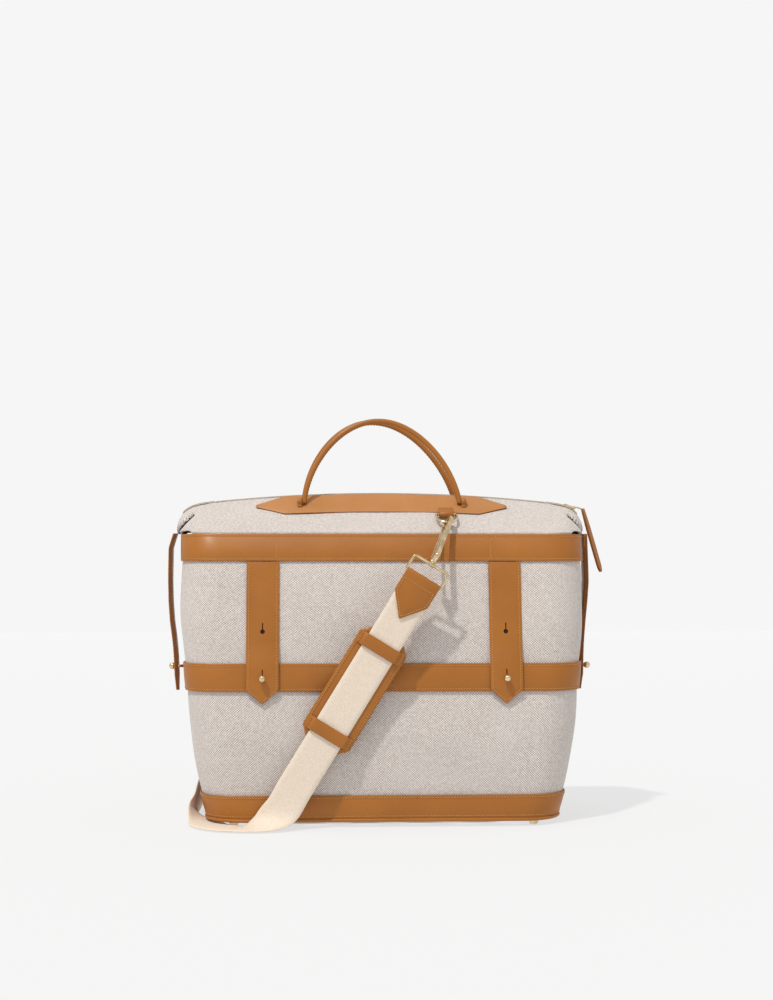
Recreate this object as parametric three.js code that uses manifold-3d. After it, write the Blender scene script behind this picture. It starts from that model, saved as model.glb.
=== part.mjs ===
// Soft canvas doctor bag with leather trim, a zipped mouth and a clip-on shoulder strap.
// Millimetres, +Z up, front towards -Y. The sections below are drawn about the middle of the base;
// the finished bag is then moved so that its origin is on the floor under the middle of its box.
import * as THREE from "three";
import { mergeVertices } from "three/addons/utils/BufferGeometryUtils.js";
import Module from "manifold-3d";

const wasm = await Module();
wasm.setup();

// ---- Driving dimensions ----
const GAP = 0.3; // between pieces that touch
const CANVAS = 2.2; // canvas with its backing
const LEATHER = 2.5;
const CORNER_RADIUS = 40;
const CORNER_MIDDLE = 45; // degrees round the corner, where the front and the end panels meet
const BASE_Z = 6.3; // lower edge of the canvas walls
const RIM_Z = 314.7; // upper edge of the canvas walls
const BELT_HEIGHT = 30;
const LOWER_BELT_Z = 145;
const UPPER_BELT_Z = 285;
const BASE_BAND_TOP = 34;

// Half width and half depth of the body at each height.
const PROFILE = [
  { z: 0, a: 188, b: 96 },
  { z: 34, a: 198, b: 99 },
  { z: 100, a: 208, b: 100 },
  { z: 160, a: 215, b: 97 },
  { z: 220, a: 219, b: 88 },
  { z: 285, a: 221, b: 76 },
  { z: 316, a: 222, b: 62 },
];

const RIDGE_Z = 361; // the top of the closed mouth, at its middle
const RIDGE_RADIUS = 1796; // the closed mouth is a shallow arc from end to end
const MOUTH_HALF = 186.5; // the stretch between the two folded ears
const MOUTH_EDGE_Y = 4.2; // half the width of the zip between the two canvas edges

const HINGE_Y = 62; // the fold that the rear top panel opens about
const HINGE_Z = 317;

const PLATE = { half: 140, shoulder: 108, low: 0.47, high: 0.93, tip: 0.03 };
const HANDLE = { half: 87, height: 93, radius: 3, pin: 14, loop: 6.5, lift: 6.4, base: 0.7 };
const STRAP_WIDTH = 38;
const WEBBING = 1.6;
const FRONT_STRAP = { x: 131, width: 35, top: 283.2, shoulder: 147, tip: 132 };
const SIDE_STRAP = { x: 234.2, drop: 0.036, width: 28, thick: 4, top: 311, hinge: 262, shoulder: 158, tip: 145 };
const SIDE_POST = 12.9; // the side studs reach out through the straps
const STUD = { z: 159.5, ball: 3.85, post: 1.6, hole: 4.6 };
const SIDE_STUD_Z = 172;
const STRAP_HOLE_Z = 209; // the upper, spare hole in each front strap
const FOOT = { x: 162, y: 86, top: 6, bottom: 4, height: 5.4 };

// The middle of everything but the strap: the studs and the zip pull move it off the base's middle.
const BOX_MIDDLE = { x: 7, y: -5.5 };

const COLOURS = {
  canvas: { color: 0xded7cc, roughness: 0.95, metalness: 0 },
  lining: { color: 0xcfc3ae, roughness: 0.95, metalness: 0 },
  board: { color: 0x7a6a58, roughness: 0.9, metalness: 0 },
  leather: { color: 0xb07440, roughness: 0.5, metalness: 0 },
  webbing: { color: 0xeadac4, roughness: 0.9, metalness: 0 },
  zip: { color: 0xd9cdb8, roughness: 0.8, metalness: 0 },
  gold: { color: 0xd9c08a, roughness: 0.25, metalness: 1 },
};

const bag = new THREE.Group();

// ---- Solids ----

const vec = (x, y, z) => new THREE.Vector3(x, y, z);

// A geometry from corners and triangles, turned to face outwards.
function closedGeometry(points, triangles) {
  let volume = 0;
  for (let i = 0; i < triangles.length; i += 3) {
    const [a, b, c] = [points[triangles[i]], points[triangles[i + 1]], points[triangles[i + 2]]];
    volume += a.dot(b.clone().cross(c));
  }
  if (volume < 0) triangles.reverse();
  const geometry = new THREE.BufferGeometry().setFromPoints(points);
  geometry.setIndex(triangles);
  return geometry;
}

// The outward direction at each point of a grid of rows and columns.
function gridNormals(grid, wrap) {
  const rows = grid.length;
  const columns = grid[0].length;
  return grid.map((row, i) =>
    row.map((_, j) => {
      const left = wrap ? (j + columns - 1) % columns : Math.max(j - 1, 0);
      const right = wrap ? (j + 1) % columns : Math.min(j + 1, columns - 1);
      const along = row[right].clone().sub(row[left]);
      const up = grid[Math.min(i + 1, rows - 1)][j].clone().sub(grid[Math.max(i - 1, 0)][j]);
      return along.cross(up).normalize();
    }),
  );
}

// A closed sheet of material that follows a grid, from one distance outside it to another.
function sheet(grid, from, to, wrap = false) {
  const rows = grid.length;
  const columns = grid[0].length;
  const normals = gridNormals(grid, wrap);
  const points = [from, to].flatMap((distance) =>
    grid.flatMap((row, i) => row.map((p, j) => p.clone().addScaledVector(normals[i][j], distance))),
  );
  const at = (layer, i, j) => layer * rows * columns + i * columns + (j % columns);
  const triangles = [];
  const quad = (p, q, r, s) => triangles.push(p, q, r, p, r, s);
  const spans = wrap ? columns : columns - 1;
  for (let i = 0; i < rows - 1; i++) {
    for (let j = 0; j < spans; j++) {
      quad(at(1, i, j), at(1, i, j + 1), at(1, i + 1, j + 1), at(1, i + 1, j));
      quad(at(0, i, j), at(0, i + 1, j), at(0, i + 1, j + 1), at(0, i, j + 1));
    }
  }
  for (let j = 0; j < spans; j++) {
    quad(at(0, 0, j), at(0, 0, j + 1), at(1, 0, j + 1), at(1, 0, j));
    const top = rows - 1;
    quad(at(0, top, j), at(1, top, j), at(1, top, j + 1), at(0, top, j + 1));
  }
  if (!wrap) {
    for (let i = 0; i < rows - 1; i++) {
      const end = columns - 1;
      quad(at(0, i, 0), at(1, i, 0), at(1, i + 1, 0), at(0, i + 1, 0));
      quad(at(0, i, end), at(0, i + 1, end), at(1, i + 1, end), at(1, i, end));
    }
  }
  return closedGeometry(points, triangles);
}

// A flat strip along a path: each stop has a point, a width direction and a half width.
function ribbon(stops, thickness, columns = 3) {
  const grid = stops.map(({ at, across, half }) => {
    const side = across.clone().normalize();
    return Array.from({ length: columns }, (_, j) =>
      at.clone().addScaledVector(side, half * ((2 * j) / (columns - 1) - 1)),
    );
  });
  return sheet(grid, -thickness / 2, thickness / 2);
}

function manifoldOf(geometry) {
  const bare = geometry.clone();
  bare.deleteAttribute("normal");
  bare.deleteAttribute("uv");
  const merged = mergeVertices(bare, 1e-4);
  const mesh = new wasm.Mesh({
    numProp: 3,
    vertProperties: new Float32Array(merged.attributes.position.array),
    triVerts: new Uint32Array(merged.index.array),
  });
  return new wasm.Manifold(mesh);
}

function geometryOf(solid) {
  const mesh = solid.getMesh();
  const geometry = new THREE.BufferGeometry();
  geometry.setAttribute("position", new THREE.BufferAttribute(mesh.vertProperties, 3));
  geometry.setIndex(new THREE.BufferAttribute(mesh.triVerts, 1));
  return geometry;
}

const cut = (body, tool) => geometryOf(manifoldOf(body).subtract(manifoldOf(tool)));
const join = (first, second) => geometryOf(manifoldOf(first).add(manifoldOf(second)));

// An outline drawn in a plane, given thickness and centred on that plane.
function slab(outline, thickness, curveSegments = 6) {
  const shape = outline instanceof THREE.Shape ? outline : new THREE.Shape(outline);
  const geometry = new THREE.ExtrudeGeometry(shape, { depth: thickness, bevelEnabled: false, curveSegments });
  return geometry.translate(0, 0, -thickness / 2);
}

// A round bar along a path.
function rod(path, radius, steps, sides = 8) {
  const section = new THREE.Shape().absarc(0, 0, radius, 0, 2 * Math.PI);
  const options = { extrudePath: path, steps, curveSegments: sides / 2, bevelEnabled: false };
  return new THREE.ExtrudeGeometry(section, options);
}

function add(name, geometry, look, parent = bag) {
  const mesh = new THREE.Mesh(geometry, new THREE.MeshStandardMaterial(COLOURS[look]));
  mesh.name = name;
  parent.add(mesh);
  return mesh;
}

// A group whose own X, Y and Z lie along two given directions and their cross product.
function frameAt(origin, xAxis, yAxis) {
  const group = new THREE.Group();
  const x = xAxis.clone().normalize();
  const z = x.clone().cross(yAxis).normalize();
  const y = z.clone().cross(x);
  group.matrix.makeBasis(x, y, z).setPosition(origin);
  group.matrix.decompose(group.position, group.quaternion, group.scale);
  bag.add(group);
  return group;
}

// ---- The body's own surface ----

function sizeAt(z) {
  const upper = Math.max(1, PROFILE.findIndex((level) => level.z >= z));
  const [low, high] = [PROFILE[upper - 1], PROFILE[upper]];
  const t = (z - low.z) / (high.z - low.z);
  return { a: THREE.MathUtils.lerp(low.a, high.a, t), b: THREE.MathUtils.lerp(low.b, high.b, t) };
}

// Points round part of the body at one height, between two angles seen from above.
function arcPoints(centreX, centreY, z, fromDegrees, toDegrees, steps) {
  return Array.from({ length: steps + 1 }, (_, i) => {
    const angle = THREE.MathUtils.degToRad(fromDegrees + ((toDegrees - fromDegrees) * i) / steps);
    return vec(centreX + CORNER_RADIUS * Math.cos(angle), centreY + CORNER_RADIUS * Math.sin(angle), z);
  });
}

// One wall at one height: half a corner, the straight, half a corner, counter-clockwise.
function wallLine(side, z, straightSteps = 4) {
  const { a, b } = sizeAt(z);
  const [x, y] = [a - CORNER_RADIUS, b - CORNER_RADIUS];
  const turn = { front: 270, right: 0, rear: 90, left: 180 }[side];
  const first = { front: [-x, -y], right: [x, -y], rear: [x, y], left: [-x, y] }[side];
  const second = { front: [x, -y], right: [x, y], rear: [-x, y], left: [-x, -y] }[side];
  const spare = 0.9; // degrees, leaves the gap between neighbouring walls
  const start = arcPoints(...first, z, turn - CORNER_MIDDLE + spare, turn, 3);
  const end = arcPoints(...second, z, turn, turn + CORNER_MIDDLE - spare, 3);
  const straight = Array.from({ length: straightSteps - 1 }, (_, i) =>
    start.at(-1).clone().lerp(end[0], (i + 1) / straightSteps),
  );
  return [...start, ...straight, ...end];
}

const wall = (side, heights) => heights.map((z) => wallLine(side, z));

function ring(z) {
  return ["front", "right", "rear", "left"].flatMap((side) => wallLine(side, z, 2));
}

const rings = (heights) => heights.map(ring);

// The outline of the body at one height, moved inwards, as a flat shape.
function floorShape(z, inwards) {
  const { a, b } = sizeAt(z);
  const [x, y, r] = [a - inwards, b - inwards, CORNER_RADIUS - inwards];
  const shape = new THREE.Shape();
  shape.moveTo(-x + r, -y);
  shape.lineTo(x - r, -y);
  shape.absarc(x - r, -y + r, r, -Math.PI / 2, 0);
  shape.absarc(x - r, y - r, r, 0, Math.PI / 2);
  shape.absarc(-x + r, y - r, r, Math.PI / 2, Math.PI);
  shape.absarc(-x + r, -y + r, r, Math.PI, 1.5 * Math.PI);
  return shape;
}

// ---- The two sloping top panels ----

const ridgeZ = (x) => RIDGE_Z - (x * x) / (2 * RIDGE_RADIUS);

// A point on a top panel: side is -1 at the front and 1 at the rear, f runs from rim (0) to ridge (1).
function topPoint(side, x, f) {
  const low = vec(x, side * HINGE_Y, HINGE_Z - 0.8);
  const high = vec(x, side * MOUTH_EDGE_Y, ridgeZ(x));
  return low.lerp(high, f);
}

const SLOPE = topPoint(-1, 0, 1).sub(topPoint(-1, 0, 0)).normalize();
const slopeUp = (side) => vec(0, -side * SLOPE.y, SLOPE.z);
const slopeOut = (side) => vec(0, side * SLOPE.z, SLOPE.y);

// A grid on a top panel between two lines that may depend on x, always facing out.
function topGrid(side, xs, low, high, rows = 3) {
  const columns = side < 0 ? xs : [...xs].reverse();
  return Array.from({ length: rows }, (_, i) =>
    columns.map((x) => topPoint(side, x, THREE.MathUtils.lerp(low(x), high(x), i / (rows - 1)))),
  );
}

const evenly = (half, steps) => Array.from({ length: steps + 1 }, (_, i) => half * ((2 * i) / steps - 1));

// ---- Canvas shell, base and lining ----

const SHELL_HEIGHTS = [BASE_Z, 34, 100, 160, 220, 285, RIM_Z];
for (const side of ["front", "rear", "left", "right"]) {
  const name = side === "front" || side === "rear" ? `${side}_panel` : `${side}_gusset`;
  add(name, sheet(wall(side, SHELL_HEIGHTS), -CANVAS, 0), "canvas");
}

add("bottom_panel", slab(floorShape(BASE_Z, CANVAS + 0.6), 2.4).translate(0, 0, 7.3), "canvas");
add("base_board", slab(floorShape(BASE_Z, CANVAS + 2), 3).translate(0, 0, 10.4), "board");

const TUB_FLOOR = 13;
function tub() {
  const heights = [12.2, 34, 100, 160, 220, 285, 312];
  const solid = (zs, inwards) => {
    const rows = zs.map((z) => ring(z));
    const normals = gridNormals(rows, true);
    const points = rows.flatMap((row, i) => row.map((p, j) => p.addScaledVector(normals[i][j], -inwards)));
    const columns = rows[0].length;
    const triangles = [];
    for (let i = 0; i < zs.length - 1; i++) {
      for (let j = 0; j < columns; j++) {
        const [a, b] = [i * columns + j, i * columns + ((j + 1) % columns)];
        triangles.push(a, b, b + columns, a, b + columns, a + columns);
      }
    }
    const lid = (zs.length - 1) * columns;
    for (let j = 1; j < columns - 1; j++) {
      triangles.push(0, j + 1, j);
      triangles.push(lid, lid + j, lid + j + 1);
    }
    return closedGeometry(points, triangles);
  };
  const inside = [TUB_FLOOR, ...heights.slice(1, -1), 320];
  return cut(solid(heights, CANVAS + 0.4), solid(inside, CANVAS + 1.2));
}
add("lining", tub(), "lining");

// ---- Leather band and belts ----

const BELT_OUT = GAP + LEATHER;
const band = (low, high, steps) => evenly((high - low) / 2, steps).map((h) => h + (low + high) / 2);

add("base_band", sheet(rings(band(5.6, BASE_BAND_TOP, 2)), GAP, BELT_OUT, true), "leather");
const lowerBelt = rings(band(LOWER_BELT_Z, LOWER_BELT_Z + BELT_HEIGHT, 2));
add("lower_belt", sheet(lowerBelt, GAP, BELT_OUT, true), "leather");
// The upper belts run on round the corners, almost to the middle of each end panel's curve.
for (const [side, before, after] of [
  ["front", "left", "right"],
  ["rear", "right", "left"],
]) {
  const heights = band(UPPER_BELT_Z, RIM_Z, 2);
  const lines = heights.map((z) => [
    ...wallLine(before, z).slice(-3),
    ...wallLine(side, z),
    ...wallLine(after, z).slice(0, 3),
  ]);
  add(`${side}_upper_belt`, sheet(lines, GAP, BELT_OUT), "leather");
}

// ---- Feet ----

const footProfile = [
  new THREE.Vector2(0, 0),
  new THREE.Vector2(FOOT.bottom, 0),
  new THREE.Vector2(FOOT.top, FOOT.height),
  new THREE.Vector2(0, FOOT.height),
];
for (const [name, x, y] of [
  ["front_left_foot", -1, -1],
  ["front_right_foot", 1, -1],
  ["rear_left_foot", -1, 1],
  ["rear_right_foot", 1, 1],
]) {
  const foot = add(name, new THREE.LatheGeometry(footProfile, 12).rotateX(Math.PI / 2), "gold");
  foot.position.set(x * FOOT.x, y * FOOT.y, 0);
}

// ---- Top panels, ears and zip ----

const mouthXs = evenly(MOUTH_HALF, 6);
const hingeStart = 0.03; // of the slope, keeps the panel's edge clear of the fold line
for (const [name, side] of [
  ["front", -1],
  ["rear", 1],
]) {
  const panel = topGrid(side, mouthXs, () => hingeStart, () => 0.985);
  add(`${name}_top_panel`, sheet(panel, -CANVAS, 0), "canvas");
  const tape = Array.from({ length: 2 }, (_, i) =>
    (side < 0 ? mouthXs : [...mouthXs].reverse()).map((x) =>
      vec(x, side * (i ? 0.2 : MOUTH_EDGE_Y - 0.6), ridgeZ(x) + 0.6),
    ),
  );
  add(`${name}_zip_tape`, sheet(tape, -2, 0), "zip");
}

// Each ear is the folded end of both top panels, from the mouth's end down to the strap.
const EAR_RIDGE = [
  { x: 187, z: 351.3 },
  { x: 205, z: 349 },
  { x: 219, z: 344 },
  { x: 228, z: 333 },
  { x: 231, z: 316 },
];
function earGrid(end) {
  const { a, b } = sizeAt(316);
  const [centreX, centreY] = [a - CORNER_RADIUS, b - CORNER_RADIUS];
  const foot = arcPoints(centreX, centreY, HINGE_Z, 90, 90 - CORNER_MIDDLE, EAR_RIDGE.length - 1);
  const columns = EAR_RIDGE.map((ridge, i) => {
    const low = i ? foot[i] : vec(ridge.x, b, HINGE_Z);
    return [-1, -0.5, 0, 0.5, 1].map((v) => {
      const share = Math.abs(v);
      const x = THREE.MathUtils.lerp(ridge.x, low.x, share);
      const z = THREE.MathUtils.lerp(ridge.z, low.z, share);
      return vec(end * x, v * low.y, z);
    });
  });
  return end < 0 ? columns : columns.map((column) => [...column].reverse());
}
add("left_ear", sheet(earGrid(-1), -CANVAS, 0), "canvas");
add("right_ear", sheet(earGrid(1), -CANVAS, 0), "canvas");

// The slider rests on the right-hand ear, and its pull hangs over the end.
const sliderShape = new THREE.Shape([
  new THREE.Vector2(-9, -3.4),
  new THREE.Vector2(5, -4.6),
  new THREE.Vector2(9, -3),
  new THREE.Vector2(9, 3),
  new THREE.Vector2(5, 4.6),
  new THREE.Vector2(-9, 3.4),
]);
const sliderFrame = frameAt(vec(215.2, 0, 348.6), vec(0.94, 0, -0.34), vec(0, 1, 0));
add("zip_slider", slab(sliderShape, 3), "gold", sliderFrame);

const PULL = { pivot: vec(230.5, 0, 344), length: 74, width: 9, thick: 3, lean: 16.2, twist: 30 };
const pullHalf = PULL.width / 2;
const pullFrame = new THREE.Group();
pullFrame.position.copy(PULL.pivot);
pullFrame.rotation.y = -THREE.MathUtils.degToRad(PULL.lean);
bag.add(pullFrame);
const pullShape = new THREE.Shape([
  new THREE.Vector2(-2.5, 1),
  new THREE.Vector2(-pullHalf, -22),
  new THREE.Vector2(-pullHalf, -PULL.length + 5),
  new THREE.Vector2(0, -PULL.length),
  new THREE.Vector2(pullHalf, -PULL.length + 5),
  new THREE.Vector2(pullHalf, -22),
  new THREE.Vector2(2.5, 1),
]);
const pullTurn = Math.PI / 2 - THREE.MathUtils.degToRad(PULL.twist);
add("zip_pull", slab(pullShape, PULL.thick).rotateX(Math.PI / 2).rotateZ(pullTurn), "leather", pullFrame);

// ---- Handle plates and handles ----

const plateXs = [-PLATE.half, -PLATE.shoulder, -54, 0, 54, PLATE.shoulder, PLATE.half];
const plateMiddle = (PLATE.low + PLATE.high) / 2;
function plateReach(x) {
  const taper = (PLATE.half - Math.abs(x)) / (PLATE.half - PLATE.shoulder);
  return THREE.MathUtils.lerp(PLATE.tip, (PLATE.high - PLATE.low) / 2, Math.min(1, taper));
}
const plateGrid = (side) =>
  topGrid(side, plateXs, (x) => plateMiddle - plateReach(x), (x) => plateMiddle + plateReach(x), 2);

function handleBase(side, x) {
  return topPoint(side, x, HANDLE.base).addScaledVector(slopeOut(side), HANDLE.lift);
}

// The arched grip with the two pins that it turns on.
function handleGeometry() {
  const arch = new THREE.EllipseCurve(0, 0, HANDLE.half, HANDLE.height, 0, Math.PI);
  const points = arch.getPoints(24).map((p) => vec(p.x, 0, p.y));
  let geometry = rod(new THREE.CatmullRomCurve3(points), HANDLE.radius, 36);
  for (const end of [-1, 1]) {
    const pin = new THREE.CylinderGeometry(HANDLE.radius, HANDLE.radius, HANDLE.pin, 12).rotateZ(Math.PI / 2);
    geometry = join(geometry, pin.translate(end * (HANDLE.half + HANDLE.pin / 2 - HANDLE.radius), 0, 0));
  }
  return geometry;
}

// A raised leather loop over a handle's pin.
function loopGeometry() {
  const shape = new THREE.Shape();
  shape.moveTo(-6, -2.9);
  shape.lineTo(-3.6, -2.9);
  shape.lineTo(-3.6, 0);
  shape.absarc(0, 0, 3.6, Math.PI, 0, true);
  shape.lineTo(3.6, -2.9);
  shape.lineTo(6, -2.9);
  shape.lineTo(6, 0);
  shape.absarc(0, 0, 6, 0, Math.PI, false);
  shape.lineTo(-6, -2.9);
  return slab(shape, 6).rotateX(Math.PI / 2).rotateZ(Math.PI / 2);
}

for (const [name, side, lean] of [
  ["front", -1, 9.9],
  ["rear", 1, 2.9],
]) {
  add(`${name}_handle_plate`, sheet(plateGrid(side), GAP, BELT_OUT), "leather");
  const handle = add(`${name}_handle`, handleGeometry(), "leather");
  handle.position.copy(handleBase(side, 0));
  handle.position.z -= HANDLE.half ** 2 / (2 * RIDGE_RADIUS) * HANDLE.base;
  handle.rotation.x = side * THREE.MathUtils.degToRad(lean);
  for (const [hand, end] of [
    ["left", -1],
    ["right", 1],
  ]) {
    const x = end * (HANDLE.half + HANDLE.loop);
    const frame = frameAt(handle.position.clone().setX(x), vec(-side, 0, 0), slopeUp(side));
    add(`${name}_${hand}_handle_loop`, loopGeometry(), "leather", frame);
  }
}

// ---- Front straps with keyholes, side straps, and their studs ----

function strapShape(width, length, shoulder, holes) {
  const half = width / 2;
  const shape = new THREE.Shape([
    new THREE.Vector2(-half, 0),
    new THREE.Vector2(-half, -shoulder),
    new THREE.Vector2(0, -length),
    new THREE.Vector2(half, -shoulder),
    new THREE.Vector2(half, 0),
  ]);
  for (const depth of holes) {
    shape.holes.push(new THREE.Path().absarc(0, -depth, STUD.hole, 0, 2 * Math.PI, true));
  }
  return shape;
}

// A ball on a short post, standing on a belt.
function studGeometry(post) {
  const ball = new THREE.EllipseCurve(0, post + STUD.ball, STUD.ball, STUD.ball, -Math.PI / 3.2, Math.PI / 2);
  const profile = [new THREE.Vector2(0, 0), new THREE.Vector2(STUD.post, 0), ...ball.getPoints(7)];
  profile[profile.length - 1].x = 0;
  return new THREE.LatheGeometry(profile, 12);
}

const STRAP_LEAN = 0.2; // the front straps lie over the belt, so they stand out towards the tip
for (const [hand, end] of [
  ["left", -1],
  ["right", 1],
]) {
  const x = end * FRONT_STRAP.x;
  const top = sizeAt(FRONT_STRAP.top).b + 1.9;
  const frame = frameAt(vec(x, -top, FRONT_STRAP.top), vec(1, 0, 0), vec(0, STRAP_LEAN, 1));
  const reach = (z) => (FRONT_STRAP.top - z) * Math.hypot(1, STRAP_LEAN);
  const holes = [reach(STRAP_HOLE_Z), reach(STUD.z)];
  const shape = strapShape(FRONT_STRAP.width, reach(FRONT_STRAP.tip), reach(FRONT_STRAP.shoulder), holes);
  add(`${hand}_front_strap`, slab(shape, LEATHER), "leather", frame);
  const stud = add(`${hand}_front_stud`, studGeometry(5).rotateX(Math.PI), "gold");
  stud.position.set(x, -sizeAt(STUD.z).b - BELT_OUT - GAP, STUD.z);

  // The side strap hangs clear of the body and leans in towards its stud.
  const sideTop = vec(end * SIDE_STRAP.x, 0, SIDE_STRAP.top);
  const sideFrame = frameAt(sideTop, vec(0, end, 0), vec(end * SIDE_STRAP.drop, 0, 1));
  const upper = SIDE_STRAP.top - SIDE_STRAP.hinge;
  const half = SIDE_STRAP.width / 2;
  const anchor = [
    new THREE.Vector2(-half, -upper),
    new THREE.Vector2(half, -upper),
    new THREE.Vector2(half, 0),
    new THREE.Vector2(-half, 0),
  ];
  add(`${hand}_side_strap_anchor`, slab(anchor, SIDE_STRAP.thick), "leather", sideFrame);
  const drops = [SIDE_STRAP.hinge - SIDE_STRAP.tip, SIDE_STRAP.hinge - SIDE_STRAP.shoulder];
  const lower = strapShape(SIDE_STRAP.width, ...drops, [SIDE_STRAP.hinge - SIDE_STUD_Z]);
  const strap = slab(lower, SIDE_STRAP.thick).translate(0, -upper - 5, 0);
  add(`${hand}_side_strap`, strap, "leather", sideFrame);
  const sideStud = add(`${hand}_side_stud`, studGeometry(SIDE_POST).rotateZ(-end * Math.PI / 2), "gold");
  sideStud.position.set(end * (sizeAt(SIDE_STUD_Z - 5).a + BELT_OUT + GAP), 0, SIDE_STUD_Z - 5);
}

// ---- Shoulder strap hardware: D-ring, swivel snap hook, rectangular ring, leather end ----

const WIRE = 2.4;
const D_RING = { width: 24.5, height: 19.5 };
const SQUARE_RING = { width: 45, height: 21, radius: 5 };

function dRingGeometry() {
  const half = D_RING.width / 2;
  const outer = new THREE.Shape();
  outer.moveTo(-half, WIRE / 2);
  outer.lineTo(-half, -D_RING.height + half);
  outer.absellipse(0, -D_RING.height + half, half, half + WIRE / 2, Math.PI, 2 * Math.PI, false);
  outer.lineTo(half, WIRE / 2);
  const inner = new THREE.Path();
  const reach = half - WIRE;
  inner.moveTo(-reach, -WIRE / 2);
  inner.lineTo(-reach, -D_RING.height + half);
  inner.absellipse(0, -D_RING.height + half, reach, half - WIRE / 2, Math.PI, 2 * Math.PI, false);
  inner.lineTo(reach, -WIRE / 2);
  outer.holes.push(inner);
  return slab(outer, WIRE);
}

function roundedRectangle(width, height, radius, path) {
  const [x, y] = [width / 2 - radius, height / 2 - radius];
  path.absarc(x, y, radius, 0, Math.PI / 2);
  path.absarc(-x, y, radius, Math.PI / 2, Math.PI);
  path.absarc(-x, -y, radius, Math.PI, 1.5 * Math.PI);
  path.absarc(x, -y, radius, 1.5 * Math.PI, 2 * Math.PI);
  path.closePath();
  return path;
}

function squareRingGeometry() {
  const { width, height, radius } = SQUARE_RING;
  const outer = roundedRectangle(width, height, radius, new THREE.Shape());
  outer.holes.push(
    roundedRectangle(width - 2 * WIRE, height - 2 * WIRE, radius - WIRE, new THREE.Path()),
  );
  return slab(outer, WIRE, 4);
}

// Hook outline: a bar on the right that curls over the top, round an eye centred on the axis.
const HOOK = { eye: 3.9, bar: 4.2, base: 10, neck: 2.2, top: 75.9, thick: 3.6 };
function hookGeometry() {
  const outside = HOOK.eye + HOOK.bar;
  const shape = new THREE.Shape();
  shape.moveTo(-HOOK.neck, 2.6);
  shape.lineTo(HOOK.neck, 2.6);
  shape.lineTo(HOOK.neck, HOOK.base - 4);
  shape.lineTo(outside, HOOK.base);
  shape.lineTo(outside, HOOK.top);
  shape.absarc(0, HOOK.top, outside, 0, Math.PI, false);
  shape.lineTo(-outside, HOOK.top - 5);
  shape.lineTo(-HOOK.eye, HOOK.top - 5);
  shape.lineTo(-HOOK.eye, HOOK.top);
  shape.absarc(0, HOOK.top, HOOK.eye, Math.PI, 0, true);
  shape.lineTo(HOOK.eye, HOOK.base + 5);
  shape.lineTo(-outside, HOOK.base + 5);
  shape.lineTo(-outside, HOOK.base);
  shape.lineTo(-HOOK.neck, HOOK.base - 4);
  return slab(shape, HOOK.thick);
}
const GATE = { low: HOOK.base + 6, high: HOOK.top - 5.6, x: -5.6, width: 2.6 };
function gateGeometry() {
  const shape = new THREE.Shape();
  roundedRectangle(GATE.width, GATE.high - GATE.low, 1.2, shape);
  return slab(shape, 2.8, 2).translate(GATE.x, (GATE.low + GATE.high) / 2, 0);
}

// The leather end of the strap, folded round the ring's lower bar, seen from its side.
function strapEndGeometry() {
  const fold = 3;
  const layer = (sign) => [
    { v: -49, half: 1.2, n: sign * fold },
    { v: -25, half: STRAP_WIDTH / 2, n: sign * fold },
    { v: -1.2, half: STRAP_WIDTH / 2, n: sign * fold },
  ];
  const turn = [0.25, 0.5, 0.75].map((t) => ({
    v: -1.2 + fold * Math.sin(Math.PI * t),
    half: STRAP_WIDTH / 2,
    n: fold * Math.cos(Math.PI * t),
  }));
  const stops = [...layer(1), ...turn, ...layer(-1).reverse()];
  return ribbon(
    stops.map(({ v, half, n }) => ({ at: vec(0, v, n), across: vec(1, 0, 0), half })),
    1.8,
  );
}

// The leather tab that holds a D-ring's straight bar.
function ringTabGeometry() {
  const fold = 2.7;
  const turn = [0, 0.25, 0.5, 0.75, 1]
    .map((t) => Math.PI * t)
    .map((angle) => [-fold * Math.sin(angle), fold * Math.cos(angle)]);
  const path = [[5.5, fold], ...turn, [5.5, -fold]];
  return ribbon(
    path.map(([v, n]) => ({ at: vec(0, v, n), across: vec(1, 0, 0), half: 8 })),
    1.5,
  );
}

// place.pivot and place.wire are the D-ring's bar and its lowest wire; place.ring is where the hook swivels.
function strapHardware(name, place) {
  const ringUp = place.pivot.clone().sub(place.wire);
  const right = place.right;
  const ringFrame = frameAt(place.pivot, right, ringUp);
  add(`${name}_ring_tab`, ringTabGeometry(), "leather", ringFrame);
  add(`${name}_d_ring`, dRingGeometry(), "gold", ringFrame);
  const hookUp = place.wire.clone().sub(place.ring);
  const hookRight = right.clone().applyAxisAngle(hookUp.clone().normalize(), place.roll);
  const hookSide = hookRight.addScaledVector(hookUp, -hookRight.dot(hookUp) / hookUp.lengthSq());
  const hookFrame = frameAt(place.ring, hookSide, hookUp);
  add(`${name}_snap_hook`, hookGeometry(), "gold", hookFrame);
  add(`${name}_hook_gate`, gateGeometry(), "gold", hookFrame);
  const strapFrame = frameAt(place.end, place.across, place.up);
  const squareRing = squareRingGeometry().translate(0, SQUARE_RING.height / 2 - WIRE, 0);
  add(`${name}_square_ring`, squareRing, "gold", strapFrame);
  add(`${name}_strap_end`, strapEndGeometry(), "leather", strapFrame);
}

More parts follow.
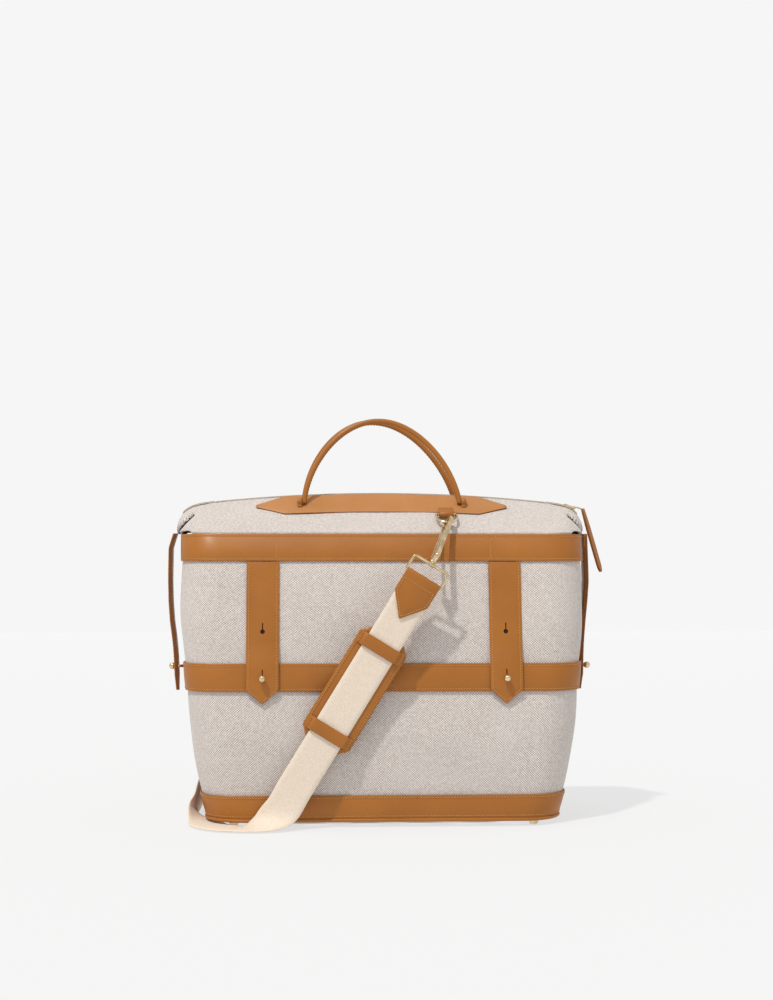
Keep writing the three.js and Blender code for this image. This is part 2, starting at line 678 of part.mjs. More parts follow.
const STRAP_DOWN = vec(-0.5235, 0, -0.852).normalize();
const STRAP_ACROSS = vec(0.852, 0, -0.5235).normalize();
const FRONT_END = vec(40, -118, 266);
const ringTop = SQUARE_RING.height - 1.5 * WIRE;
strapHardware("front", {
  pivot: vec(70.6, -45.6, 336.4),
  wire: vec(70.6, -62.8, 327.2),
  ring: FRONT_END.clone().addScaledVector(STRAP_DOWN, -ringTop),
  right: vec(1, 0, 0),
  roll: -0.95,
  end: FRONT_END,
  across: STRAP_ACROSS,
  up: STRAP_DOWN.clone().negate(),
});
const REAR_END = vec(-70, 112, 168.6);
strapHardware("rear", {
  pivot: vec(-70, 90.5, 277.2),
  wire: vec(-70, 93.5, 258),
  ring: REAR_END.clone().add(vec(0, 0, ringTop)),
  right: vec(-1, 0, 0),
  roll: -0.95,
  end: REAR_END,
  across: vec(-1, 0, 0),
  up: vec(0, 0, 1),
});

// ---- Webbing: along the front, round the left end on its edge, up to the rear ring ----

const along = (distance) => FRONT_END.clone().addScaledVector(STRAP_DOWN, distance);
const ROUTE = [
  [along(6), STRAP_ACROSS],
  [along(90), STRAP_ACROSS],
  [along(175), STRAP_ACROSS],
  [along(259), STRAP_ACROSS],
  [along(288), vec(0.84, -0.14, -0.52)],
  [vec(-128, -120, 8.5), vec(0.55, -0.78, -0.28)],
  [vec(-148, -119, 2.4), vec(0.1, -0.99, 0)],
  [vec(-168, -113, 2.3), vec(-0.45, -0.89, 0)],
  [vec(-183, -101, 2.3), vec(-0.87, -0.5, 0)],
  [vec(-192, -82, 2.3), vec(-0.95, -0.3, 0)],
  [vec(-198, -62, 4), vec(-0.7, -0.7, 0.1)],
  [vec(-205, -48, 11), vec(-0.35, -0.75, 0.5)],
  [vec(-206, -34, 16), vec(-0.05, -0.7, 0.7)],
  [vec(-206, -12, 19.6), vec(0, -0.45, 0.9)],
  [vec(-206, 15, 20), vec(0, -0.1, 1)],
  [vec(-206, 50, 20), vec(0, 0, 1)],
  [vec(-205, 85, 20), vec(0, 0, 1)],
  [vec(-197, 115, 20), vec(0, 0, 1)],
  [vec(-175, 137, 20), vec(0, 0, 1)],
  [vec(-145, 143, 21), vec(-0.1, 0.05, 1)],
  [vec(-112, 137, 32), vec(-0.4, 0.3, 0.85)],
  [vec(-88, 125, 54), vec(-0.8, 0.3, 0.5)],
  [vec(-74, 115, 86), vec(-1, 0.1, 0.2)],
  [vec(-70, 112, 122), vec(-1, 0, 0)],
  [vec(-70, 112, 162), vec(-1, 0, 0)],
];
const routeCurve = new THREE.CatmullRomCurve3(ROUTE.map(([point]) => point), false, "centripetal");
const widthCurve = new THREE.CatmullRomCurve3(ROUTE.map(([, across]) => across), false, "catmullrom");
const ROUTE_STEPS = 3 * (ROUTE.length - 1);
const webbingStops = Array.from({ length: ROUTE_STEPS + 1 }, (_, i) => {
  const t = i / ROUTE_STEPS;
  return { at: routeCurve.getPoint(t), across: widthCurve.getPoint(t), half: STRAP_WIDTH / 2 };
});
add("shoulder_webbing", ribbon(webbingStops, WEBBING), "webbing");

// ---- Shoulder pad, carried on the webbing by two leather bridges ----

const PAD = { length: 142, width: 60, thick: 5, corner: 12, at: 139 };
const BRIDGE = { wide: 14, spacing: 105, height: 4.4, half: 25 };
const padFrame = frameAt(along(PAD.at), STRAP_ACROSS, STRAP_DOWN.clone().negate());
const [padX, padY] = [PAD.width / 2, PAD.length / 2];
const padShape = new THREE.Shape([
  new THREE.Vector2(-padX + PAD.corner, -padY),
  new THREE.Vector2(padX - PAD.corner, -padY),
  new THREE.Vector2(padX, -padY + PAD.corner),
  new THREE.Vector2(padX, padY - PAD.corner),
  new THREE.Vector2(padX - PAD.corner, padY),
  new THREE.Vector2(-padX + PAD.corner, padY),
  new THREE.Vector2(-padX, padY - PAD.corner),
  new THREE.Vector2(-padX, -padY + PAD.corner),
]);
const padBehind = PAD.thick / 2 + WEBBING / 2 + 0.6;
add("shoulder_pad", slab(padShape, PAD.thick).translate(0, 0, -padBehind), "leather", padFrame);
const bridgeBase = -WEBBING / 2 - 0.3;
const bridgeShape = new THREE.Shape([
  new THREE.Vector2(-BRIDGE.half, bridgeBase),
  new THREE.Vector2(-BRIDGE.half + 4, bridgeBase),
  new THREE.Vector2(-BRIDGE.half + 4, WEBBING / 2 + 0.6),
  new THREE.Vector2(BRIDGE.half - 4, WEBBING / 2 + 0.6),
  new THREE.Vector2(BRIDGE.half - 4, bridgeBase),
  new THREE.Vector2(BRIDGE.half, bridgeBase),
  new THREE.Vector2(BRIDGE.half, bridgeBase + 2),
  new THREE.Vector2(BRIDGE.half - 3, bridgeBase + BRIDGE.height),
  new THREE.Vector2(-BRIDGE.half + 3, bridgeBase + BRIDGE.height),
  new THREE.Vector2(-BRIDGE.half, bridgeBase + 2),
]);
for (const [name, v] of [
  ["upper_pad_bridge", BRIDGE.spacing / 2],
  ["lower_pad_bridge", -BRIDGE.spacing / 2],
]) {
  add(name, slab(bridgeShape, BRIDGE.wide).rotateX(Math.PI / 2).translate(0, v, 0), "leather", padFrame);
}

bag.position.set(-BOX_MIDDLE.x, -BOX_MIDDLE.y, 0);

export default bag;
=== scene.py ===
# Looks of the canvas and leather doctor bag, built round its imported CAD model.
# Lengths in this file are millimetres unless a comment says otherwise; meshes are made in metres.
import math

import bmesh
import bpy
import numpy as np
from mathutils import Matrix, Vector


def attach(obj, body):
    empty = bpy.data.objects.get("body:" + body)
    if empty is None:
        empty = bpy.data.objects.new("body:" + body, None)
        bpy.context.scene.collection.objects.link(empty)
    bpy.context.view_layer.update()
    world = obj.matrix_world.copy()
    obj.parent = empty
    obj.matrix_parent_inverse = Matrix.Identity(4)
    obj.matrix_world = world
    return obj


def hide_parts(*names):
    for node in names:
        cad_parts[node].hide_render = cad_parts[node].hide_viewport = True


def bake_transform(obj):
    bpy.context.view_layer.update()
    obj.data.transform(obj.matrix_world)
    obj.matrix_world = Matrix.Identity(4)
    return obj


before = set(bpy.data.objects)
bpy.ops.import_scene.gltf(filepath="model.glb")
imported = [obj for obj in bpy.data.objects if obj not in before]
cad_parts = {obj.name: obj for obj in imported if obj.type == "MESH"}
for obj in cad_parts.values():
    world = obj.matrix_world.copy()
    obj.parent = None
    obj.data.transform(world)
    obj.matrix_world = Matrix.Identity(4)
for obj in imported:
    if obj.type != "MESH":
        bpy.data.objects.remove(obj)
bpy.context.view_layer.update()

MM = 0.001
BASE_MIDDLE = np.array([-7, 5.5, 0])  # everything below is drawn about the middle of the base
scene = bpy.context.scene

# ---- Driving dimensions, the same as the CAD part's ----
CORNER_RADIUS = 40
PROFILE_Z = [0, 34, 100, 160, 220, 285, 316]
PROFILE_A = [188, 198, 208, 215, 219, 221, 222]  # half width
PROFILE_B = [96, 99, 100, 97, 88, 76, 62]  # half depth
LOWER_BELT = (145, 175)
UPPER_BELT = (285, 314.7)
BASE_BAND = (5.6, 34)
BELT_IN, BELT_OUT = 0.3, 2.8  # the leather's two faces, outwards from the canvas
RIDGE_Z, RIDGE_RADIUS = 361, 1796
MOUTH_HALF, MOUTH_EDGE_Y = 186.5, 4.2
HINGE_Y, HINGE_Z = 62, 316.2
PLATE = {"half": 140, "shoulder": 108, "low": 0.47, "high": 0.93, "tip": 0.03}
HANDLE = {"half": 87, "height": 93, "radius": 3}
STRAP_WIDTH, WEBBING = 38, 1.6
FRONT_STRAP = {"x": 131, "half": 17.5, "top": 283.6, "shoulder": 147, "tip": 132, "hole": 209}
SIDE_STRAP = {"x": 234.2, "drop": 0.036, "half": 14, "top": 316, "shoulder": 158, "tip": 140}
STUD_Z, SIDE_STUD_Z = 159.5, 167
HANDS = ((-1, "left"), (1, "right"))
WIRE = 2.4


def vec(x, y, z):
    return np.array([x, y, z], float)


def unit(v):
    return v / np.linalg.norm(v)


# ---- Stage, camera and light ----


def make_camera():
    camera = bpy.data.objects.new("camera", bpy.data.cameras.new("camera"))
    scene.collection.objects.link(camera)
    camera.location = (-0.085, -1.7945, 0.279)
    camera.rotation_euler = (math.radians(90), 0, math.radians(-2.63))
    camera.data.lens = 57.2
    camera.data.shift_x = 0.0015
    camera.data.shift_y = 0.0665
    scene.camera = camera


def glowing(name, base, strength):
    """Matt paper that shines a little by itself, so that it stays pale in every view."""
    material = bpy.data.materials.new(name)
    material.use_nodes = True
    inputs = material.node_tree.nodes["Principled BSDF"].inputs
    inputs["Base Color"].default_value = (base, base, base, 1)
    inputs["Roughness"].default_value = 1
    inputs["Specular IOR Level"].default_value = 0
    inputs["Emission Color"].default_value = (1, 1, 1, 1)
    inputs["Emission Strength"].default_value = strength
    return material


def make_stage():
    floor = [(-6, -4, 0), (6, -4, 0), (6, 5, 0), (-6, 5, 0)]
    wall = [(-2, 5, -0.5), (2.8, 5, -0.5), (2.8, 5, 2.9), (-2, 5, 2.9)]
    papers = (glowing("paper", 0.22, 0.64), glowing("backdrop_glow", 0, 0.92))
    for name, corners, paper in zip(("floor", "backdrop"), (floor, wall), papers):
        mesh = bpy.data.meshes.new(name)
        mesh.from_pydata(corners, [], [(0, 1, 2, 3)])
        mesh.materials.append(paper)
        obj = bpy.data.objects.new(name, mesh)
        scene.collection.objects.link(obj)


def make_lights():
    world = bpy.data.worlds.new("studio")
    world.use_nodes = True
    background = world.node_tree.nodes["Background"]
    background.inputs["Color"].default_value = (0.98, 0.99, 1, 1)
    background.inputs["Strength"].default_value = 0.72
    scene.world = world
    sun = bpy.data.lights.new("key", "SUN")
    sun.energy = 2.0
    sun.angle = math.radians(2.5)
    sun.color = (1, 0.985, 0.96)
    key = bpy.data.objects.new("key", sun)
    towards = Vector((0.31, 0.38, -0.87))
    key.rotation_euler = towards.to_track_quat("-Z", "Y").to_euler()
    scene.collection.objects.link(key)


make_camera()
make_stage()
make_lights()
scene.view_settings.view_transform = "Standard"

# ---- Materials ----


class Look:
    """One material and short ways to add its nodes."""

    def __init__(self, name, roughness, metallic=0.0, specular=0.5):
        self.material = bpy.data.materials.new(name)
        self.material.use_nodes = True
        self.tree = self.material.node_tree
        self.shader = self.tree.nodes["Principled BSDF"]
        self.shader.inputs["Roughness"].default_value = roughness
        self.shader.inputs["Metallic"].default_value = metallic
        self.shader.inputs["Specular IOR Level"].default_value = specular

    def node(self, kind, inputs, **settings):
        made = self.tree.nodes.new(kind)
        for name, value in settings.items():
            setattr(made, name, value)
        for name, value in inputs.items():
            if isinstance(value, bpy.types.NodeSocket):
                self.tree.links.new(value, made.inputs[name])
            else:
                made.inputs[name].default_value = value
        return made

    def place(self):
        return self.node("ShaderNodeTexCoord", {}).outputs["Object"]

    def noise(self, scale, detail):
        inputs = {"Vector": self.place(), "Scale": scale, "Detail": detail}
        return self.node("ShaderNodeTexNoise", inputs).outputs["Fac"]

    def maths(self, operation, first, second=0.0):
        return self.node("ShaderNodeMath", {0: first, 1: second}, operation=operation).outputs[0]

    def remap(self, value, low, high, to_low=0.0, to_high=1.0):
        inputs = {"Value": value, "From Min": low, "From Max": high, "To Min": to_low, "To Max": to_high}
        return self.node("ShaderNodeMapRange", inputs).outputs[0]

    def mix(self, factor, *colours):
        ends = [c if isinstance(c, bpy.types.NodeSocket) else (*c, 1) for c in colours]
        return self.node("ShaderNodeMix", {0: factor, 6: ends[0], 7: ends[1]}, data_type="RGBA").outputs[2]

    def colour(self, socket):
        self.tree.links.new(socket, self.shader.inputs["Base Color"])

    def roughness(self, socket):
        self.tree.links.new(socket, self.shader.inputs["Roughness"])

    def bump(self, height, strength, depth_mm):
        inputs = {"Height": height, "Strength": strength, "Distance": depth_mm * MM}
        made = self.node("ShaderNodeBump", inputs)
        self.tree.links.new(made.outputs["Normal"], self.shader.inputs["Normal"])


def woven(name, light, dark, pitch_u, pitch_v, depth_mm, contrast=(0.3, 0.7), checks=True):
    """Cloth whose threads cross every pitch, on the diagonal if in checks. UVs are in metres."""
    look = Look(name, 0.92, specular=0.25)
    uv = look.node("ShaderNodeUVMap", {}).outputs["UV"]
    parts = look.node("ShaderNodeSeparateXYZ", {"Vector": uv})
    first, second = parts.outputs["X"], parts.outputs["Y"]
    if checks:
        first, second = look.maths("ADD", first, second), look.maths("SUBTRACT", first, second)
    wave_u = look.maths("COSINE", look.maths("MULTIPLY", first, 2 * math.pi / (pitch_u * MM)))
    wave_v = look.maths("COSINE", look.maths("MULTIPLY", second, 2 * math.pi / (pitch_v * MM)))
    if checks:
        weave = look.remap(look.maths("SUBTRACT", wave_v, wave_u), -2, 2)
    else:  # ribs across, with only a faint thread along
        weave = look.remap(look.maths("ADD", look.maths("MULTIPLY", wave_v, 0.35), wave_u), -1.35, 1.35)
    tone = look.maths("ADD", weave, look.remap(look.noise(420, 2), 0.3, 0.7, -0.14, 0.14))  # slubs
    threads = look.mix(look.remap(tone, *contrast), dark, light)
    cloud = look.remap(look.noise(14, 2), 0.35, 0.65, 0.0, 0.16)
    look.colour(look.mix(cloud, threads, tuple(0.86 * c for c in light)))
    look.bump(look.maths("ADD", weave, look.maths("MULTIPLY", look.noise(1500, 2), 0.35)), 0.55, depth_mm)
    look.shader.inputs["Sheen Weight"].default_value = 0.12
    return look.material


def leather(name, light, dark, roughness=0.42):
    """Smooth leather: fine grain, soft patches of colour and a gentle change of gloss."""
    look = Look(name, roughness, specular=0.38)
    patches = look.remap(look.noise(18, 3), 0.3, 0.7)
    fine = look.remap(look.noise(700, 4), 0.3, 0.7, 0.0, 0.22)
    look.colour(look.mix(fine, look.mix(patches, light, dark), tuple(0.72 * c for c in dark)))
    look.roughness(look.remap(look.noise(60, 3), 0.3, 0.7, roughness - 0.05, roughness + 0.08))
    cells = look.node("ShaderNodeTexVoronoi", {"Vector": look.place(), "Scale": 1100.0}).outputs["Distance"]
    grain = look.maths("ADD", cells, look.maths("MULTIPLY", look.noise(2600, 2), 0.6))
    look.bump(grain, 0.22, 0.12)
    return look.material


def metal(name, light, dark, roughness):
    look = Look(name, roughness, metallic=1.0)
    look.colour(look.mix(look.remap(look.noise(120, 2), 0.35, 0.65), light, dark))
    look.roughness(look.remap(look.noise(900, 3), 0.3, 0.7, roughness - 0.04, roughness + 0.07))
    look.bump(look.noise(400, 2), 0.05, 0.1)
    return look.material


def plain(name, light, dark, roughness, scale=300.0, depth_mm=0.2):
    look = Look(name, roughness, specular=0.3)
    look.colour(look.mix(look.remap(look.noise(scale, 4), 0.3, 0.7), light, dark))
    look.bump(look.noise(scale * 2, 3), 0.3, depth_mm)
    return look.material


CANVAS = woven("canvas", (0.78, 0.715, 0.67), (0.36, 0.305, 0.265), 2.5, 2.5, 0.3)
FOLD_SHADE = plain("fold_shade", (0.035, 0.028, 0.024), (0.02, 0.016, 0.014), 0.95)
LINING = woven("lining_cotton", (0.62, 0.55, 0.45), (0.48, 0.42, 0.33), 0.8, 0.8, 0.15)
WEBBING_CLOTH = woven(
    "webbing_cotton", (0.84, 0.72, 0.59), (0.62, 0.50, 0.385), 1.5, 2.2, 0.3, (0.0, 0.55), checks=False
)
ZIP_TAPE = woven("zip_tape", (0.60, 0.53, 0.44), (0.46, 0.40, 0.32), 0.9, 0.9, 0.15)
LEATHER = leather("tan_leather", (0.405, 0.142, 0.016), (0.345, 0.116, 0.012))
# Painted sheen: the handle plates take a lighter copy of the tan leather, which stands in for the light they
# catch as they face the sun.
SHEEN_PAINTED_LEATHER = leather("plate_leather_painted_sheen", (0.50, 0.215, 0.062), (0.44, 0.18, 0.048))
LEATHER_EDGE = plain("leather_edge", (0.20, 0.068, 0.02), (0.15, 0.05, 0.015), 0.5)
THREAD = plain("thread", (0.58, 0.28, 0.085), (0.42, 0.19, 0.05), 0.6, 1200.0)
GOLD = metal("pale_gold", (0.86, 0.70, 0.45), (0.60, 0.45, 0.25), 0.15)
BOARD = plain("fibre_board", (0.20, 0.15, 0.10), (0.15, 0.11, 0.07), 0.85)
# Painted shade: near-black sheet set behind the upper keyholes, standing in for the shade inside them; it
# also colours the keyhole cutters, which are removed.
SHADOW_LEATHER = plain("keyhole_painted_shade", (0.05, 0.018, 0.006), (0.035, 0.012, 0.004), 0.7)

# ---- Meshes from grids ----


def make_object(name, points, faces, materials, slot_index=None, uvs=None, facing=None):
    """A mesh from points in mm. uvs holds one (u, v) in mm for each face corner."""
    mesh = bpy.data.meshes.new(name)
    mesh.from_pydata([tuple(p) for p in (np.asarray(points, float) + BASE_MIDDLE) * MM], [], faces)
    for material in materials:
        mesh.materials.append(material)
    if slot_index is not None:
        mesh.polygons.foreach_set("material_index", slot_index)
    if uvs is not None:
        layer = mesh.uv_layers.new(name="UVMap")
        layer.data.foreach_set("uv", (np.asarray(uvs, float) * MM).ravel())
    build = bmesh.new()
    build.from_mesh(mesh)
    if facing is None:
        bmesh.ops.recalc_face_normals(build, faces=build.faces)
    elif sum(facing(f.calc_center_median() / MM).dot(f.normal) * f.calc_area() for f in build.faces) < 0:
        bmesh.ops.reverse_faces(build, faces=build.faces)
    build.to_mesh(mesh)
    build.free()
    mesh.shade_smooth()
    obj = bpy.data.objects.new(name, mesh)
    scene.collection.objects.link(obj)
    return obj


def lengths(points):
    """The distance along a line of points, from its start."""
    steps = np.linalg.norm(np.diff(points, axis=0), axis=1)
    return np.concatenate([[0], np.cumsum(steps)])


def point_along(values, along, distance):
    """The value of a line of points or directions at a distance along it."""
    return np.array([np.interp(distance, along, np.asarray(values)[:, axis]) for axis in range(3)])


def surface_lengths(grid):
    """Every point's distance along its column, and along its row from the column nearest X 0."""
    along = np.array([lengths(grid[:, j]) for j in range(grid.shape[1])]).T
    across = np.array([lengths(row) for row in grid])
    start = np.argmin(np.abs(grid[-1, :, 0]))
    return along, across - across[:, [start]]


def grid_object(
    name, grid, materials, close_rows=False, close_columns=True, caps="both", edge_columns=(), facing=None
):
    """A surface from rows of points with columns across it. caps closes its "first" row or "both" ends."""
    grid = np.asarray(grid, float)
    rows, columns = grid.shape[:2]
    middle = grid.mean(axis=1)
    along = lengths(np.vstack([middle, middle[:1]]) if close_rows else middle)[:, None]
    across = lengths(np.vstack([grid[0], grid[0][:1]]) if close_columns else grid[0])[None, :]
    along, across = np.broadcast_arrays(along, across)
    if not close_rows and not close_columns:
        along, across = surface_lengths(grid)
    faces, uvs, slots = [], [], []
    for i in range(rows if close_rows else rows - 1):
        for j in range(columns if close_columns else columns - 1):
            corners = ((i, j), (i, j + 1), (i + 1, j + 1), (i + 1, j))
            faces.append([(r % rows) * columns + c % columns for r, c in corners])
            uvs += [(along[r, c], across[r, c]) for r, c in corners]
            slots.append(1 if j in edge_columns else 0)
    capped = {"both": (0, rows - 1), "first": (0,), None: ()}[None if close_rows else caps]
    for i in capped:
        around = range(i * columns, (i + 1) * columns)
        faces.append(list(around) if i else list(around)[::-1])
        uvs += [(0, 0)] * columns
        slots.append(1 if edge_columns else 0)
    return make_object(name, grid.reshape(-1, 3), faces, materials, slots, uvs, facing)


def modify(obj, kind, **settings):
    """Adds a modifier to a piece, and gives the piece back."""
    modifier = obj.modifiers.new(kind.lower(), kind)
    for name, value in settings.items():
        setattr(modifier, name, value)
    return obj


def thicken(obj, thickness):
    """Gives an open surface its thickness, inwards."""
    return modify(obj, "SOLIDIFY", thickness=thickness * MM, offset=-1)


def soften(obj, width, segments=2):
    edges = {"limit_method": "ANGLE", "angle_limit": math.radians(38)}
    return modify(obj, "BEVEL", width=width * MM, segments=segments, **edges)


def settle(obj):
    """Replaces a piece's mesh by what its modifiers make of it."""
    bpy.context.view_layer.update()
    made = bpy.data.meshes.new_from_object(obj.evaluated_get(bpy.context.evaluated_depsgraph_get()))
    obj.modifiers.clear()
    obj.data = made
    made.shade_smooth()
    return obj


def done(obj, body, slot, *nodes):
    """The piece moves with a body and stands for CAD nodes, which are hidden; its slot argument is not used.
    """
    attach(obj, body)
    if nodes:
        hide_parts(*nodes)
    return obj


def leather_section(half, thickness, edge=0.6, groove=False):
    """(across, out) points round a strip of leather: two flat faces, soft edges, a stitched groove."""
    top, low = thickness / 2, -thickness / 2
    face = [(half, top - edge), (half - edge * 0.3, top - edge * 0.3), (half - edge, top)]
    if groove:
        face += [(half - 1.9, top), (half - 2.6, top - 0.25), (half - 3.3, top)]
    face += [(0, top + 0.1)]
    face += [(-x, y) for x, y in reversed(face[:-1])]
    back = [(-half, low + edge), (-half + edge, low), (half - edge, low), (half, low + edge)]
    return face + back


def sweep(points, across, outward, sections):
    """Places a section at each point of a path. The last three hold for all points, or have one for each."""
    across = np.broadcast_to(across, np.shape(points))
    outward = np.broadcast_to(outward, np.shape(points))
    grid = []
    for i, point in enumerate(points):
        section = sections[i] if isinstance(sections[0][0], (list, tuple)) else sections
        grid.append([point + across[i] * x + outward[i] * y for x, y in section])
    return np.array(grid)


def square_to(line, across):
    """The directions square to a line and to a strip's width, at each point of the line."""
    across = np.broadcast_to(across, np.shape(line))
    return np.array([unit(np.cross(a, t)) for a, t in zip(across, np.gradient(np.array(line), axis=0))])


def strip(name, line, across, outward, sections, face=LEATHER):
    """A strip of leather with dark cut edges, its sections made by leather_section."""
    grid = sweep(line, across, outward, sections)
    edges = (grid.shape[1] - 5, grid.shape[1] - 1)
    return grid_object(name, grid, [face, LEATHER_EDGE], edge_columns=edges)


def tape(name, line, half, thick):
    """A flat strip of zip cloth that lies level across the ridge."""
    section = [(half, -thick), (half, thick), (-half, thick), (-half, -thick)]
    grid = sweep(line, vec(0, 1, 0), vec(0, 0, 1), section)
    return grid_object(name, grid, [ZIP_TAPE])


def circle(radius, sides=12):
    turns = np.linspace(0, 2 * math.pi, sides, endpoint=False)
    return [(radius * math.cos(t), radius * math.sin(t)) for t in turns]


def arc(x, y, radius, first, last, steps):
    """Points on part of a circle; first and last are in degrees."""
    turns = np.linspace(math.radians(first), math.radians(last), steps)
    return [(x + radius * math.cos(t), y + radius * math.sin(t)) for t in turns]


def tube(name, points, radius, material, closed=False, sides=12, reference=None):
    """A round bar along a path. reference is a direction that the path never runs along."""
    points = np.asarray(points, float)
    around = np.roll(points, -1, 0) - np.roll(points, 1, 0)
    if not closed:
        around[0], around[-1] = points[1] - points[0], points[-1] - points[-2]
    tangents = [unit(t) for t in around]
    side = unit(reference if reference is not None else vec(0, 1, 0))
    across = [unit(side - t * side.dot(t)) for t in tangents]
    outward = [np.cross(t, a) for t, a in zip(tangents, across)]
    radii = np.broadcast_to(radius, len(points))
    grid = sweep(points, across, outward, [circle(r, sides) for r in radii])
    return grid_object(name, grid, [material], close_rows=closed)


def lathe(name, profile, origin, axis, material, sides=32):
    """Turns (radius, height) points round an axis. Both ends lie on the axis."""
    axis = unit(axis)
    first = unit(np.cross(axis, vec(0.3, 0.9, 0.31)))
    second = np.cross(axis, first)
    grid = [
        [origin + axis * height + first * x + second * y for x, y in circle(radius, sides)]
        for radius, height in profile[1:-1]
    ]
    rows = len(grid)
    points = [p for ring in grid for p in ring]
    points += [origin + axis * profile[0][1], origin + axis * profile[-1][1]]
    faces = []
    for j in range(sides):
        k = (j + 1) % sides
        for ring in range(0, (rows - 1) * sides, sides):
            faces.append([ring + j, ring + k, ring + sides + k, ring + sides + j])
        faces.append([j, k, rows * sides])
        faces.append([(rows - 1) * sides + j, (rows - 1) * sides + k, rows * sides + 1])
    return make_object(name, points, faces, [material])


def prism(name, outline, thickness, frame_axes, material, bevel=0.5):
    """An outline in a frame's own X and Y, given thickness along its Z."""
    count = len(outline)
    points = [in_frame(frame_axes, x, y, z) for z in (-thickness / 2, thickness / 2) for x, y in outline]
    faces = [list(range(count))[::-1], list(range(count, 2 * count))]
    faces += [[j, (j + 1) % count, count + (j + 1) % count, count + j] for j in range(count)]
    return soften(make_object(name, points, faces, [material]), bevel)


def stitches(name, body, rows, pitch=3.0, length=2.1, radius=0.5):
    """Short threads along lines of points. rows holds pairs: the points, and the way out at all or each."""
    points, faces = [], []
    sides = 6
    for line, outward in rows:
        line = np.asarray(line, float)
        outward = np.broadcast_to(outward, line.shape)
        along = lengths(line)
        for middle in np.arange(pitch / 2, along[-1], pitch):
            start = point_along(line, along, middle - length / 2)
            end = point_along(line, along, middle + length / 2)
            if np.linalg.norm(end - start) < length / 3:
                continue
            up = unit(point_along(outward, along, middle))
            side = unit(np.cross(end - start, up))
            base = len(points)
            for share, size in ((0, 0.35), (0.2, 1), (0.8, 1), (1, 0.35)):
                centre = start + (end - start) * share
                points += [centre + side * x * size + up * y * size for x, y in circle(radius, sides)]
            for ring in range(3):
                a, b = base + ring * sides, base + (ring + 1) * sides
                faces += [[a + j, a + (j + 1) % sides, b + (j + 1) % sides, b + j] for j in range(sides)]
            faces.append([base + j for j in range(sides)][::-1])
            faces.append([base + 3 * sides + j for j in range(sides)])
    return done(make_object(name, points, faces, [THREAD]), body, "leather")


def cad_frame(origin, x_axis, y_axis):
    """Origin and three axes: X as given, Z square to X and the second direction, as in the CAD."""
    x_axis = unit(x_axis)
    z_axis = unit(np.cross(x_axis, y_axis))
    return origin, x_axis, np.cross(z_axis, x_axis), z_axis


def in_frame(axes, x, y, z):
    origin, x_axis, y_axis, z_axis = axes
    return origin + x_axis * x + y_axis * y + z_axis * z


def in_metres(point):
    return tuple(float(c) for c in (np.asarray(point, float) + BASE_MIDDLE) * MM)


# ---- The body's surface ----


def profile(z, sizes):
    reach = max(0, min(14, z, 316 - z))
    return float(np.mean(np.interp(z + np.linspace(-reach, reach, 9), PROFILE_Z, sizes)))


def body_columns(half_long=26, short=24, corner=10):
    """(fx, fy, nx, ny) round the body from the middle of the rear: the place as shares, and the normal."""
    stops = [(0, 1), (-1, 1), (-1, -1), (1, -1), (1, 1), (0, 1)]
    counts = [half_long, short, 2 * half_long, short, half_long]
    found = []
    for k, (start, end, count) in enumerate(zip(stops, stops[1:], counts)):
        faces = 90 * (k + 1)
        normal = (round(math.cos(math.radians(faces))), round(math.sin(math.radians(faces))))
        for t in np.linspace(0, 1, count, endpoint=False):
            found.append((start[0] + (end[0] - start[0]) * t, start[1] + (end[1] - start[1]) * t, *normal))
        if k < len(counts) - 1:
            for angle in np.radians(np.linspace(faces, faces + 90, corner, endpoint=False)):
                found.append((*end, math.cos(angle), math.sin(angle)))
    return found


COLUMNS = body_columns()
FRONT_COLUMNS = [c for c in COLUMNS if c[3] < -0.24]  # the upper belts run on round the corners
HALF_ROUND = len(COLUMNS) // 2
REAR_COLUMNS = [c for c in COLUMNS[HALF_ROUND:] + COLUMNS[:HALF_ROUND] if c[3] > 0.24]


def body_point(column, z, out=0.0):
    fx, fy, nx, ny = column
    a, b = profile(z, PROFILE_A), profile(z, PROFILE_B)
    radius = CORNER_RADIUS + out
    return vec(fx * (a - CORNER_RADIUS) + radius * nx, fy * (b - CORNER_RADIUS) + radius * ny, z)


def face_point(side, x, z, out=0.0):
    """A point on the flat of the front (-1) or the rear (1)."""
    return vec(x, side * (profile(z, PROFILE_B) + out), z)


def puff(column, z):
    """How far the canvas stands out between the belts, with faint soft waves."""
    for low, high in ((BASE_BAND[1], LOWER_BELT[0]), (LOWER_BELT[1], UPPER_BELT[0])):
        if low < z < high:
            fx, fy, nx, ny = column
            x, y = 185 * fx + CORNER_RADIUS * nx, 60 * fy + CORNER_RADIUS * ny
            window = math.sin(math.pi * (z - low) / (high - low)) ** 0.8
            if ny < -0.9 and low > 100:  # the front straps hold the canvas flat
                window *= 1 - 0.9 * math.exp(-(((abs(x) - FRONT_STRAP["x"]) / 21) ** 4))
            fullness = 2.6 * (1 - 0.5 * abs(nx * ny) * 2)
            waves = math.sin(x / 31 + z / 19) * math.sin(y / 26 - z / 43 + 0.7)
            waves += 0.6 * math.sin(x / 13 - z / 37 + 1.9) * math.sin(z / 23 + 0.4)
            return window * (fullness + 0.75 * waves)
    return 0.0


